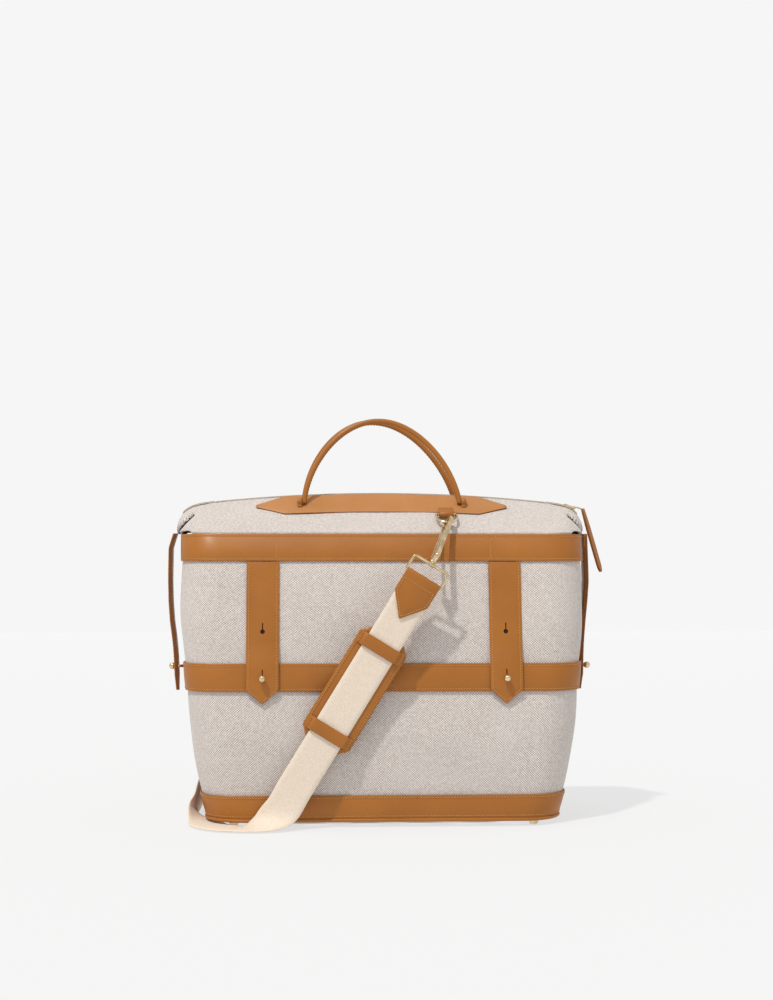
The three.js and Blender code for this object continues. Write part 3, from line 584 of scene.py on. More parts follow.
def make_body():
    heights = np.linspace(4.8, 313.8, 76)
    grid = [[body_point(c, z, puff(c, z)) for c in COLUMNS] for z in heights]
    shell = grid_object("canvas_body", grid, [CANVAS], caps=None)
    panels = ("front_panel", "rear_panel", "left_gusset", "right_gusset")
    done(thicken(shell, 2.0), "bag", "canvas", *panels)

    levels = np.concatenate([[13.4], np.linspace(16, 312, 40)])
    inside = [[body_point(c, z, puff(c, z) * 0.5 - 3.2) for c in COLUMNS] for z in levels]
    floor = [[p * vec(s, s, 1) for p in inside[0]] for s in (0.05, 0.35, 0.65, 0.9, 0.97)]
    inwards = lambda centre: Vector(BASE_MIDDLE + vec(0, 0, 150)) - centre
    grid = floor + inside
    lining = grid_object("cotton_lining", grid, [LINING], caps="first", facing=inwards)
    done(thicken(lining, 0.7), "bag", "lining", "lining")


FEET = {"x": 162, "y": 86}
FOOT_PLACES = {
    f"{row}_{hand}_foot": (x * FEET["x"], y * FEET["y"])
    for row, y in (("front", -1), ("rear", 1))
    for hand, x in (("left", -1), ("right", 1))
}


def make_bottom():
    """The canvas under the base: it sags between the feet."""
    grid = []
    rings = [(1, 8), (0.992, 5.4), (0.975, 3.6), (0.94, 2.6), (0.85, 2.3), (0.6, 2.2), (0.3, 2.2)]
    for share, z in rings + [(0.04, 2.2)]:
        row = []
        for column in COLUMNS:
            point = body_point(column, 8, -1.0) * vec(share, share, 1)
            point[2] = z
            nearest = min(math.hypot(point[0] - x, point[1] - y) for x, y in FOOT_PLACES.values())
            point[2] += (5.9 - z) * math.exp(-((nearest / 34) ** 4)) if z < 5.9 else 0
            row.append(point)
        grid.append(row)
    downward = lambda centre: Vector((0, 0, -1))
    bottom = grid_object("canvas_bottom", grid[::-1], [CANVAS], caps="first", facing=downward)
    done(thicken(bottom, 1.0), "bag", "canvas", "bottom_panel")
    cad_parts["base_board"].data.materials.clear()
    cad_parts["base_board"].data.materials.append(BOARD)


def make_feet():
    outline = [(0, 0), (3.0, 0.0), (3.8, 0.35), (4.4, 1.2), (5.2, 3.0), (5.9, 4.4), (6.1, 5.0), (6.0, 5.4)]
    outline.append((0, 5.4))
    for name, (x, y) in FOOT_PLACES.items():
        foot = lathe(name + "_dome", outline, vec(x, y, 0), vec(0, 0, 1), GOLD)
        done(foot, "bag", "gold", name)


# ---- Leather band and belts ----


def belt(node, low, high, columns, closed):
    half, middle = (high - low) / 2, (BELT_IN + BELT_OUT) / 2
    section = leather_section(half, BELT_OUT - BELT_IN, groove=True)
    grid = [[body_point(c, low + half + v, middle + o) for v, o in section] for c in columns]
    edges = (len(section) - 5, len(section) - 1)
    materials = [LEATHER, LEATHER_EDGE]
    obj = grid_object(f"{node}_leather", grid, materials, closed, edge_columns=edges)
    done(obj, "bag", "leather", node)


def belt_rows(columns, heights):
    out = [vec(c[2], c[3], 0) for c in columns]
    return [([body_point(c, z, BELT_OUT + 0.05) for c in columns], out) for z in heights]


def make_belts():
    belt("base_band", *BASE_BAND, COLUMNS, True)
    belt("lower_belt", *LOWER_BELT, COLUMNS, True)
    belt("front_upper_belt", *UPPER_BELT, FRONT_COLUMNS, False)
    belt("rear_upper_belt", *UPPER_BELT, REAR_COLUMNS, False)
    lip = [[body_point(c, 7.2 + 1.9 * y, 2.9 + 1.7 * x) for x, y in circle(1, 10)] for c in COLUMNS]
    done(grid_object("base_lip", lip, [LEATHER], close_rows=True), "bag", "leather")

    edge = 2.6
    heights = (BASE_BAND[1] - edge, LOWER_BELT[0] + edge, LOWER_BELT[1] - edge, 11.6)
    rows = belt_rows(COLUMNS + COLUMNS[:1], heights)
    for columns in (FRONT_COLUMNS, REAR_COLUMNS):
        rows += belt_rows(columns, (UPPER_BELT[0] + edge, UPPER_BELT[1] - edge))
    seam = ((116.5, 288), (116.5, 306), (122, 311.5))  # where the parts of an upper belt are joined
    for side, end in ((-1, -1), (-1, 1), (1, -1), (1, 1)):
        rows.append(([face_point(side, end * x, z, BELT_OUT + 0.1) for x, z in seam], vec(0, side, 0)))
    stitches("belt_stitches", "bag", rows)


# ---- Top panels with their folded ears ----

EAR_X, EAR_Z = [187, 205, 219, 228, 231], [351.3, 349, 344, 333, 316]
EAR_COLUMNS, TOP_ROWS = 60, 64
CREASE = (vec(210, 0, 334), vec(227, 0, 316))
FOLD_DEPTH = 8.0


def ridge_z(x):
    return RIDGE_Z - x * x / (2 * RIDGE_RADIUS)


def top_point(side, x, share):
    """A point on the plain slope of a top panel: share runs from the rim (0) to the ridge (1)."""
    return vec(x, side * HINGE_Y, HINGE_Z) * (1 - share) + vec(x, side * MOUTH_EDGE_Y, ridge_z(x)) * share


SLOPE = unit(top_point(-1, 0, 1) - top_point(-1, 0, 0))


def slope_up(side):
    return vec(0, -side * SLOPE[1], SLOPE[2])


def slope_out(side):
    return vec(0, side * SLOPE[2], SLOPE[1])


def ear_ridge(e):
    """The ridge of a folded ear, from the mouth's end (0) to the strap (1), at the right-hand end."""
    e = min(1.0, max(0.0, e))
    reach = 0.45 * min(1, 4 * e, 4 * (1 - e))
    places = 4 * e + np.linspace(-reach, reach, 5)
    x, z = np.mean(np.interp(places, range(5), EAR_X)), np.mean(np.interp(places, range(5), EAR_Z))
    return vec(x, 0, z)


def top_ends(e):
    """The rim and ridge points of a column at the front. Beyond 1 or -1, e is an ear's share plus 1."""
    size = abs(e)
    if size <= 1:
        x = e * MOUTH_HALF
        return vec(x, -HINGE_Y, HINGE_Z), vec(x, -MOUTH_EDGE_Y, ridge_z(x)), 0.0
    share = size - 1
    angle = math.radians(90 - 45 * share)
    low = vec(182 + 40 * math.cos(angle), -22 - 40 * math.sin(angle), HINGE_Z)
    high = ear_ridge(share)
    high[1] = -MOUTH_EDGE_Y * max(0, 1 - share / 0.15)
    flip = vec(1 if e > 0 else -1, 1, 1)
    return low * flip, high * flip, share


def crease_depth(point, share, height):
    """The dark fold at each end: a narrow valley in an ear's face, which runs out towards the rim."""
    place = vec(abs(point[0]), 0, point[2])
    start, end = CREASE
    along = np.clip((place - start).dot(end - start) / (end - start).dot(end - start), 0, 1)
    distance = np.linalg.norm(place - start - (end - start) * along)
    narrow = 1.8 + 1.2 * along
    return FOLD_DEPTH * math.exp(-((distance / narrow) ** 2)) * min(1, share * 4) * min(1, 2.5 * height)


def top_surface(side, places):
    """Rows from the rim to the ridge over the given column places, pushed out where the canvas is full."""
    columns = [top_ends(e) for e in places]
    shares = np.linspace(0, 1, TOP_ROWS)
    flat = np.array([[low * (1 - s) + high * s for low, high, _ in columns] for s in shares])
    normals = np.cross(np.gradient(flat, axis=1), np.gradient(flat, axis=0))
    normals /= np.linalg.norm(normals, axis=2, keepdims=True)
    grid = np.zeros(flat.shape)
    for i, s in enumerate(shares):
        full = math.sin(math.pi * s)
        for j, (_, _, share) in enumerate(columns):
            x = flat[i, j, 0]
            waves = math.sin(x / 37 + 2.1 * s) + 0.5 * math.sin(x / 15 - 4 * s)
            out = full * (2.0 + 0.6 * waves) * (1 - share) + share * 5.5 * full ** 0.7
            grid[i, j] = flat[i, j] + normals[i, j] * (out - crease_depth(flat[i, j], share, s))
    corners = [j for j, e in enumerate(places) if 0.9 < abs(e) < 1.15 and 0 < j < len(places) - 1]
    for _ in range(24):  # the turn from the panel into its ear is soft
        before, after = grid[:, [j - 1 for j in corners]], grid[:, [j + 1 for j in corners]]
        grid[:, corners] = grid[:, corners] * 0.5 + (before + after) * 0.25
    tuck = [vec(-5 * np.sign(p[0]) * (abs(e) > 1), 2.2, -7) for p, e in zip(grid[0], places)]
    return np.concatenate([[grid[0] + tuck], grid]) * vec(1, -side, 1)


def open_cloth(name, grid):
    """A sheet of canvas with free edges, its outer face upwards."""
    upward = lambda centre: Vector((0, 0, 1))
    return grid_object(name, grid, [CANVAS], close_columns=False, caps=None, facing=upward)


def shade_folds(front, places):
    """The deepest faces of the two front folds take a dark cloth, as the deep shade in them."""
    front.data.materials.append(FOLD_SHADE)
    faces_across = len(places) - 1
    for i, s in enumerate(np.linspace(0, 1, TOP_ROWS)[:-1]):
        for j, e in enumerate(places[:-1]):
            low, high, share = top_ends(e)
            if crease_depth(low * (1 - s) + high * s, share, s) > FOLD_DEPTH * 0.5:
                front.data.polygons[(i + 1) * faces_across + j].material_index = 1


def follow_flap(piece, end, slot, *nodes):
    """One end's half of the rear opening: its transform is baked into its mesh, and the CAD nodes it stands
    for are hidden. end and slot are not used.
    """
    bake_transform(piece)
    if nodes:
        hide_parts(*nodes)


def make_top():
    left_ear = -1 - np.linspace(1, 0, EAR_COLUMNS, endpoint=False)
    right_ear = -left_ear[::-1]
    middle = np.linspace(-1, 1, 91)
    places = np.concatenate([left_ear, middle, right_ear])
    front = open_cloth("front_top_canvas", top_surface(-1, places))
    shade_folds(front, places)
    done(thicken(front, 2.0), "bag", "canvas", "front_top_panel", "left_ear", "right_ear")
    for end, hand in HANDS:
        chosen = places[places * end >= 0]
        half = open_cloth(f"rear_{hand}_top_canvas", top_surface(1, chosen))
        follow_flap(thicken(half, 2.0), end, "canvas", "rear_top_panel")


# ---- Zip: tapes, teeth, slider and pull ----

TOOTH = {"pitch": 2.4, "size": (1.3, 2.7, 1.5)}


def teeth(name, centres):
    """A small softened block at each centre."""
    square = ((-0.5, -0.5), (0.5, -0.5), (0.5, 0.5), (-0.5, 0.5))
    corners = [(x, y, z) for z in (-0.5, 0.5) for x, y in square]
    points, faces = [], []
    for centre in centres:
        base = len(points)
        points += [centre + vec(*corner) * TOOTH["size"] for corner in corners]
        faces += [[base, base + 3, base + 2, base + 1], [base + 4, base + 5, base + 6, base + 7]]
        faces += [[base + k, base + (k + 1) % 4, base + 4 + (k + 1) % 4, base + 4 + k] for k in range(4)]
    obj = make_object(name, points, faces, [ZIP_TAPE])
    obj.data.shade_flat()
    return soften(obj, 0.25, 1)


def make_zip():
    xs = np.linspace(-MOUTH_HALF, MOUTH_HALF, 61)
    for word, side, end in (("front", -1, 0), ("rear_left", 1, -1), ("rear_right", 1, 1)):
        line = [vec(x, side * 2.6, ridge_z(x) + 0.2) for x in xs if x * end >= 0]
        cloth = tape(word + "_zip_cloth", line, 2.3, 0.4)
        first = -MOUTH_HALF + 1 + (TOOTH["pitch"] / 2 if side > 0 else 0)
        places = [x for x in np.arange(first, MOUTH_HALF, TOOTH["pitch"]) if x * end >= 0]
        row = teeth(word + "_zip_teeth", [vec(x, side * 0.9, ridge_z(x) + 0.7) for x in places])
        if end:
            follow_flap(cloth, end, "zip", "rear_zip_tape")
            follow_flap(row, end, "zip")
        else:
            done(cloth, "bag", "zip", "front_zip_tape")
            done(row, "bag", "zip")
    for end, hand in HANDS:
        path = [ear_ridge(e) * vec(end, 1, 1) + vec(0, 0, 0.3) for e in np.linspace(0.0, 0.62, 18)]
        done(tape(hand + "_ear_zip_cloth", path, 3.2, 0.5), "bag", "zip")
        along = lengths(path)
        centres = []
        for k, distance in enumerate(np.arange(1.2, along[-1], TOOTH["pitch"] / 2)):
            centres.append(point_along(path, along, distance) + vec(0, 0.9 if k % 2 else -0.9, 0.8))
        done(teeth(hand + "_ear_zip_teeth", centres), "bag", "zip")


PULL_PIVOT = vec(230.5, 0, 344)
PULL = {"length": 74, "thick": 3, "lean": 16.2, "twist": 30}  # its lean and twist in degrees


def make_pull():
    axes = cad_frame(vec(215.2, 0, 347.4), vec(0.94, 0, -0.34), vec(0, 1, 0))
    outline = [(-7, -2.4), (-4, -3.4), (4, -3.8), (7, -2.4), (7, 2.4), (4, 3.8), (-4, 3.4), (-7, 2.4)]
    done(prism("slider_body", outline, 2.4, axes, GOLD, 0.8), "bag", "gold", "zip_slider")
    reach = PULL_PIVOT - axes[0]
    path = [axes[0] + reach * t + vec(0, 0, 0.8 * math.sin(math.pi * t)) for t in np.linspace(0, 1, 14)]
    done(tube("slider_link", path, 0.8, GOLD), "bag", "gold")

    lean, twist = math.radians(PULL["lean"]), math.radians(90 - PULL["twist"])
    turn = Matrix.Rotation(-lean, 3, "Y") @ Matrix.Rotation(twist, 3, "Z")
    across, out = np.array(turn @ Vector((1, 0, 0))), np.array(turn @ Vector((0, 1, 0)))
    down = np.array(turn @ Vector((0, 0, -1)))
    stops = [(-1, 2.3), (4, 3.0), (14, 4.0), (24, 4.6), (45, 4.8), (66, 4.6), (70, 3.8), (72.8, 2.2)]
    stops.append((PULL["length"], 0.6))
    line = [PULL_PIVOT + down * distance for distance, _ in stops]
    sections = [leather_section(half, PULL["thick"], 0.5) for _, half in stops]
    done(strip("pull_tab", line, across, out, sections), "zip_pull", "leather", "zip_pull")
    rows = []
    edge = []
    down_and_up = [(-1, *stop) for stop in stops[1:-1]] + [(1, *stop) for stop in stops[-2:0:-1]]
    for side, distance, half in down_and_up:
        reach = down * min(distance, PULL["length"] - 3) + across * side * max(0.3, half - 1.5)
        edge.append(PULL_PIVOT + reach)
    for face in (-out, out):
        rows.append((np.array(edge) + face * (PULL["thick"] / 2 + 0.05), face))
    stitches("pull_stitches", "zip_pull", rows, 2.6, 1.8, 0.3)


# ---- Handle plates, handles and their loops ----


def handle_base(side):
    point = top_point(side, 0, 0.7) + slope_out(side) * 6.4
    point[2] -= HANDLE["half"] ** 2 / (2 * RIDGE_RADIUS) * 0.7
    return point


def make_plate(side, word, body):
    """The six-sided leather plate on one top panel."""
    middle = (PLATE["low"] + PLATE["high"]) / 2
    slope_length = np.linalg.norm(top_point(-1, 0, 1) - top_point(-1, 0, 0))
    inner = np.linspace(-PLATE["shoulder"], PLATE["shoulder"], 31)
    outer = np.linspace(PLATE["shoulder"], PLATE["half"], 9)[1:]
    line, sections = [], []
    for x in np.concatenate([-outer[::-1], inner, outer]):
        taper = min(1, (PLATE["half"] - abs(x)) / (PLATE["half"] - PLATE["shoulder"]))
        share = PLATE["tip"] + ((PLATE["high"] - PLATE["low"]) / 2 - PLATE["tip"]) * taper
        line.append(top_point(side, x, middle) + slope_out(side) * ((BELT_IN + BELT_OUT) / 2 + 0.9))
        sections.append(leather_section(share * slope_length, 2.5))
    # painted sheen: the plate's leather is the lighter copy of the tan leather
    plate = strip(f"{word}_plate_leather_painted_sheen", line, slope_up(side), slope_out(side), sections, SHEEN_PAINTED_LEATHER)
    done(plate, body, "leather", f"{word}_handle_plate")


def make_handle(side, word, body, lean, skew):
    """An arched round handle with its inner seam, two pins and the loops over them. lean is in degrees."""
    make_plate(side, word, body)
    node = f"{word}_handle"
    base = handle_base(side)
    angle = side * math.radians(lean)
    up = vec(0, -math.sin(angle), math.cos(angle))
    arch = []
    for t in np.linspace(0, math.pi, 65):
        sideways = HANDLE["half"] * math.cos(t) * (1 - 0.15 * math.sin(t)) + skew * math.sin(t)
        arch.append(base + vec(sideways, 0, 0) + up * HANDLE["height"] * math.sin(t))
    arch = [arch[0] - up * 1.6] + arch + [arch[-1] - up * 1.6]
    done(tube(f"{word}_grip", arch, HANDLE["radius"], LEATHER, sides=20), node, "leather", node)
    seam = arch[2:-2]
    outward = np.array([unit(p - base) for p in seam])
    rows = [(seam - outward * (HANDLE["radius"] + 0.02), -outward)]
    stitches(f"{word}_grip_stitches", node, rows, 3.4, 2.4, 0.3)
    for end, hand in HANDS:
        pin_path = [base + vec(end * x, 0, 0) for x in (86, 89, 92, 94, 94.8)]
        radii = [2.4, 2.4, 2.2, 1.2, 0.6]
        pin = tube(f"{word}_{hand}_pin", pin_path, radii, LEATHER, reference=vec(0, 0.3, 1))
        done(pin, node, "leather")
        make_loop(f"{word}_{hand}", base + vec(end * 91.5, 0, 0), side, body)


def make_handles():
    make_handle(-1, "front", "bag", lean=9.9, skew=-3.0)
    make_handle(1, "rear", "rear_flap", lean=2.9, skew=-9.0)


def make_loop(name, centre, side, body):
    """A half round of leather over a handle's pin, sewn to the plate at both feet."""
    up, out = slope_up(side), slope_out(side)
    stops = [(6.4, -2.4), (5.2, -2.1), *arc(0, 0, 3.7, 0, 180, 13), (-5.2, -2.1), (-6.4, -2.4)]
    line = [centre + up * x + out * y for x, y in stops]
    across = vec(1, 0, 0)
    grid = sweep(line, across, square_to(line, across), leather_section(2.6, 1.8, 0.5))
    loop = grid_object(name + "_loop_leather", grid, [LEATHER])
    done(loop, body, "leather", name + "_handle_loop")


# ---- Front straps, side straps and their studs ----


def cut_keyholes(strap, holes, across, up, out):
    """Round holes with a slit above each, cut through a strap."""
    outline = arc(0, 0, 2.5, 104, 436, 24) + [(0.6, 9.0), (0, 9.8), (-0.6, 9.0)]
    for k, centre in enumerate(holes):
        cutter = prism(f"cutter_{k}", outline, 16, (centre, across, up, out), SHADOW_LEATHER)
        cutter.modifiers.clear()
        settle(modify(strap, "BOOLEAN", operation="DIFFERENCE", solver="MANIFOLD", object=cutter))
        bpy.data.objects.remove(cutter)
    strap.data.set_sharp_from_angle(angle=math.radians(28))


def tapered(heights, full, shoulder, tip):
    """A strap's half width at each height: full down to the shoulder, then narrowing to its tip."""
    return [full if z >= shoulder else max(0.7, full * (z - tip) / (shoulder - tip)) for z in heights]


def strap_edge_rows(line, across, out, halves, inset, rise):
    """Two stitch rows just inside the edges of a strap that narrows to a tip."""
    reach = np.array([max(0.4, h - inset) for h in halves])[:, None]
    return [(line + across * s * reach + out * rise, out) for s in (-1, 1)]


# The share of a front strap's lift off the canvas, by height.
FRONT_LIFT = ([128, 143, 149, 171, 178, 196], [0.55, 0.8, 1, 1, 0.85, 0])


def front_strap_point(x, z, height=None):
    """The middle of a front strap, which lifts off the canvas where it passes over the lower belt."""
    lift = 2.1 + 2.9 * float(np.interp(z if height is None else height, *FRONT_LIFT))
    return vec(x, -profile(z, PROFILE_B) - lift, z)


def make_front_straps():
    top, tip, shoulder, hole_z = (FRONT_STRAP[key] for key in ("top", "tip", "shoulder", "hole"))
    heights = [*np.linspace(top, 181, 24), *np.linspace(179, 141, 16), 138, 135, shoulder, tip + 1.2, tip]
    heights = sorted(set(heights), reverse=True)
    halves = tapered(heights, FRONT_STRAP["half"], shoulder, tip)
    sections = [leather_section(h, 2.5, min(0.6, h / 2)) for h in halves]
    across = vec(1, 0, 0)
    for end, hand in HANDS:
        name, x = f"{hand}_front_strap", end * FRONT_STRAP["x"]
        line = [front_strap_point(x, z) for z in heights]
        out = square_to(line, -across)
        strap = strip(f"{name}_leather", line, across, out, sections)
        spots = [front_strap_point(x, z) for z in (hole_z, STUD_Z)]
        cut_keyholes(strap, spots, across, unit(vec(0, 0.1, 1)), unit(vec(0, -1, 0.1)))
        done(strap, name, "leather", name)
        # painted shade: a dark sheet just behind the upper keyhole, so that the hole shows the shade inside
        # it
        behind = front_strap_point(x, hole_z + 3, hole_z) + vec(0, 0.75, 0)
        axes = (behind, across, unit(vec(0, 0.16, 1)), unit(vec(0, -1, 0.16)))
        backing = [(-4, -7), (4, -7), (4, 9), (-4, 9)]
        done(prism(f"{hand}_keyhole_shade_patch", backing, 0.5, axes, SHADOW_LEATHER, 0.1), name, "leather")
        rows = strap_edge_rows(line[1:-2], across, out[1:-2], halves[1:-2], 2.6, 1.25)
        stitches(f"{name}_stitches", name, rows)
        foot = vec(x, -profile(STUD_Z, PROFILE_B) - BELT_OUT, STUD_Z)
        make_stud(f"{hand}_front_stud", foot, vec(0, -1, 0), 5)


def make_stud(node, foot, axis, post):
    """A ball on a waisted post with a small collar."""
    ball = 3.85
    outline = [(0, -0.6), (3.0, -0.6), (3.2, 0.2), (2.8, 0.8), (1.7, 1.2), (1.5, post - 1.2)]
    outline.append((2.0, post - 0.1))
    for t in np.linspace(-0.95, math.pi / 2, 14)[:-1]:
        outline.append((ball * math.cos(t), post + ball + ball * math.sin(t)))
    outline.append((0, post + 2 * ball))
    done(lathe(node + "_ball", outline, foot, axis, GOLD), "bag", "gold", node)


# How far each side strap stands out from its straight line, by height.
SIDE_BOW = {
    "left": ([140, 178, 190, 202, 217, 240, 262, 300, 316], [0.8, 1.2, 1.6, 2.5, 4.0, 4.8, 4.6, 2.6, -3.0]),
    "right": ([140, 180, 194, 217, 240, 262, 316], [-1.6, -2.3, -2.3, -1.4, 0.0, 0.8, -3.0]),
}


def make_side_straps():
    full, shoulder, tip, drop = (SIDE_STRAP[key] for key in ("half", "shoulder", "tip", "drop"))
    heights = sorted({*np.linspace(SIDE_STRAP["top"], 150, 40), shoulder, tip + 1.2, tip}, reverse=True)
    halves = tapered(heights, full, shoulder, tip)
    sections = [leather_section(h, 3.6, min(0.6, h / 2)) for h in halves]
    across = vec(0, 1, 0)
    for end, hand in HANDS:
        name = f"{hand}_side_strap"
        out = unit(vec(end, 0, -drop))
        bow = np.interp(heights, *SIDE_BOW[hand])
        line = [vec(end * (SIDE_STRAP["x"] - (311 - z) * drop + b), 0, z) for z, b in zip(heights, bow)]
        strap = strip(f"{name}_leather", line, across, out, sections)
        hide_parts(f"{hand}_side_strap_anchor", f"{hand}_side_strap")
        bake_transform(strap)
        rows = strap_edge_rows(line, across, out, halves, 2.4, 1.8)
        upper = [(points[np.array(heights) > 268], out) for points, _ in rows]
        lower = [(points[np.array(heights) < 250], out) for points, _ in rows]
        stitches(f"{hand}_side_anchor_stitches", "bag", upper)
        stitches(f"{name}_stitches", name, lower)
        foot = vec(end * (profile(SIDE_STUD_Z, PROFILE_A) + BELT_OUT), 0, SIDE_STUD_Z)
        make_stud(f"{hand}_side_stud", foot, vec(end, 0, 0), 12.9)


# ---- Shoulder strap hardware ----

D_RING = {"width": 24.5, "height": 19.5, "wire": {"front": 1.4, "rear": 1.2}}
SQUARE_RING = {"width": 45, "height": 21, "radius": 5, "wire": 1.5}
HOOK = {"outside": 8.1, "base": 10, "top": 75.9, "roll": -0.95}
HOOK_EYE, HOOK_THICK = {"front": 3.2, "rear": 3.9}, {"front": 4.4, "rear": 3.6}
RING_TOP = SQUARE_RING["height"] - 1.5 * WIRE
STRAP_DOWN = unit(vec(-0.5235, 0, -0.852))
STRAP_ACROSS = unit(vec(0.852, 0, -0.5235))
FRONT_END = vec(40, -118, 266)
REAR_END = vec(-70, 112, 168.6)
PLACES = {
    "front": {
        "pivot": vec(70.6, -45.6, 336.4),
        "wire": vec(70.6, -62.8, 327.2),
        "right": vec(1, 0, 0),
        "end": FRONT_END,
        "across": STRAP_ACROSS,
        "up": -STRAP_DOWN,
    },
    "rear": {
        "pivot": vec(-70, 90.5, 277.2),
        "wire": vec(-70, 93.5, 258),
        "right": vec(-1, 0, 0),
        "end": REAR_END,
        "across": vec(-1, 0, 0),
        "up": vec(0, 0, 1),
    },
}


def d_ring(word, axes):
    half = (D_RING["width"] - WIRE) / 2
    low = -D_RING["height"] + half + WIRE / 2
    outline = arc(-half + 2, -1.4, 2, 90, 180, 6) + arc(0, low, half, 180, 360, 26)
    outline += arc(half - 2, -1.4, 2, 0, 90, 6)
    path = [in_frame(axes, x, y, 0) for x, y in outline]
    ring = tube(f"{word}_d_ring_wire", path, D_RING["wire"][word], GOLD, closed=True, reference=axes[3])
    done(ring, f"{word}_d_ring", "gold", f"{word}_d_ring")


def square_ring(word, axes):
    x, y = (SQUARE_RING["width"] - WIRE) / 2, (SQUARE_RING["height"] - WIRE) / 2
    radius = SQUARE_RING["radius"] - WIRE / 2
    middle = SQUARE_RING["height"] / 2 - WIRE
    outline = []
    for sx, sy, first in ((1, 1, 0), (-1, 1, 90), (-1, -1, 180), (1, -1, 270)):
        outline += arc(sx * (x - radius), middle + sy * (y - radius), radius, first, first + 90, 8)
    path = [in_frame(axes, px, py, 0) for px, py in outline]
    ring = tube(f"{word}_square_ring_wire", path, SQUARE_RING["wire"], GOLD, closed=True, reference=axes[3])
    done(ring, "bag", "gold", f"{word}_square_ring")


def snap_hook(word, axes):
    """A flat bar that curls over at the top, a spring gate, and a swivel round the ring's upper bar."""
    eye, outside, base, top = HOOK_EYE[word], HOOK["outside"], HOOK["base"], HOOK["top"]
    outline = [(-2.2, base - 5), (2.2, base - 5), (3.6, base - 3.4), (outside - 1.5, base)]
    outline += [(outside, base + 2), *arc(0, top, outside, 0, 180, 22), (-outside, top - 4)]
    outline.append((-outside + 1.2, top - 5))
    outline += [(-eye - 0.6, top - 5), (-eye, top - 4.2)] + arc(0, top, eye, 180, 0, 16)
    outline += [(eye, base + 8), (eye - 1.4, base + 5.6), (-outside + 1, base + 5)]
    outline += [(-outside, base + 4), (-outside, base + 1), (-outside + 1.2, base - 0.4)]
    body = prism(f"{word}_hook_body", outline, HOOK_THICK[word], axes, GOLD, 0.7)
    done(body, f"{word}_snap_hook", "gold", f"{word}_snap_hook")
    collar = [(0, 1.6), (3.0, 1.6), (3.3, 2.0), (3.3, 2.9), (2.4, 3.3), (2.0, 4.2), (3.4, 4.7), (3.5, 5.6)]
    collar.append((0, 5.8))
    done(lathe(f"{word}_swivel_neck", collar, axes[0], axes[2], GOLD), f"{word}_snap_hook", "gold")
    gate_low, gate_high, x, half = base + 6, top - 5.6, -5.6, 1.3
    gate = arc(x, gate_low + half, half, 180, 360, 8) + arc(x, gate_high - half, half, 0, 180, 8)
    piece = prism(f"{word}_gate_bar", gate, 2.8, axes, GOLD, 0.45)
    done(piece, f"{word}_hook_gate", "gold", f"{word}_hook_gate")
    pin = [(0, -2.1), (1.0, -2.1), (1.2, -1.9), (1.2, 1.9), (1.0, 2.1), (0, 2.1)]
    rivet = lathe(f"{word}_gate_rivet", pin, in_frame(axes, x, gate_low + 1.0, 0), axes[3], GOLD, 16)
    done(rivet, f"{word}_hook_gate", "gold")


def swivel_block(word, axes):
    """The short sleeve round the ring's upper bar that carries the swivel."""
    outline = [(0, -3.1), (2.2, -3.1), (2.5, -2.8), (2.5, 2.8), (2.2, 3.1), (0, 3.1)]
    centre = in_frame(axes, 0, RING_TOP, 0)
    done(lathe(f"{word}_swivel_sleeve", outline, centre, axes[1], GOLD, 20), "bag", "gold")


def ring_tab(word, axes):
    """The leather tab folded over the D-ring's straight bar."""
    fold = 2.7
    stops = [(11.5, fold - 0.6), (5.5, fold), *arc(0, 0, fold, 90, 270, 13), (5.5, -fold), (9, -fold + 1.2)]
    line = [in_frame(axes, 0, v, n) for v, n in stops]
    section = leather_section(8, 1.6, 0.4)
    tab = strip(f"{word}_tab_leather", line, axes[1], square_to(line, axes[1]), section)
    done(tab, "bag", "leather", f"{word}_ring_tab")


def strap_end(word, axes):
    """The leather end: folded round the ring, sewn to the webbing, and cut to a point."""
    fold, full = 3.0, STRAP_WIDTH / 2 + 1.2
    bend = -1.2
    outline = [(-49, 0.9), (-47.5, 1.9), (-26, full - 0.7), *((v, full) for v in (-24, -12, -3, bend))]
    stops = [(v, half, fold) for v, half in outline]
    stops += [(v, full, n) for n, v in arc(0, bend, fold, 0, 180, 13)[1:-1]]
    stops += [(v, half, -fold) for v, half in outline[::-1]]
    pinch = lambda v: 0.9 * min(1.0, max(0.0, (-v - 4) / 6))
    line = [in_frame(axes, 0, v, n - math.copysign(pinch(v), n) if v < bend else n) for v, _, n in stops]
    sections = [leather_section(half, 1.8, min(0.5, half / 2)) for _, half, _ in stops]
    end = strip(f"{word}_end_leather", line, axes[1], square_to(line, axes[1]), sections)
    done(end, "bag", "leather", f"{word}_strap_end")
    side = full - 2.4
    edges = [(side, -9), (side, -24), (1.5, -45.5), (-1.5, -45.5), (-side, -24), (-side, -9)]
    rows = []
    for sign in (-1, 1):
        for row in (edges, [edges[-1], edges[0]]):
            points = [in_frame(axes, x, v, sign * (fold - pinch(v) + 0.95)) for x, v in row]
            rows.append((points, axes[3] * sign))
    stitches(f"{word}_end_stitches", "bag", rows)


def make_hardware():
    for word, place in PLACES.items():
        ring_axes = cad_frame(place["pivot"], place["right"], place["pivot"] - place["wire"])
        ring_tab(word, ring_axes)
        d_ring(word, ring_axes)
        ring_bar = place["end"] + place["up"] * RING_TOP
        hook_up = unit(place["wire"] - ring_bar)
        hook_right = np.array(Matrix.Rotation(HOOK["roll"], 3, Vector(hook_up)) @ Vector(place["right"]))
        hook_right -= hook_up * hook_right.dot(hook_up)
        snap_hook(word, cad_frame(ring_bar, hook_right, hook_up))
        strap_axes = cad_frame(place["end"], place["across"], place["up"])
        square_ring(word, strap_axes)
        swivel_block(word, strap_axes)
        strap_end(word, strap_axes)


# ---- Webbing: along the front, round the left end on its edge, up to the rear ring ----


def along_front(distance):
    return FRONT_END + STRAP_DOWN * distance


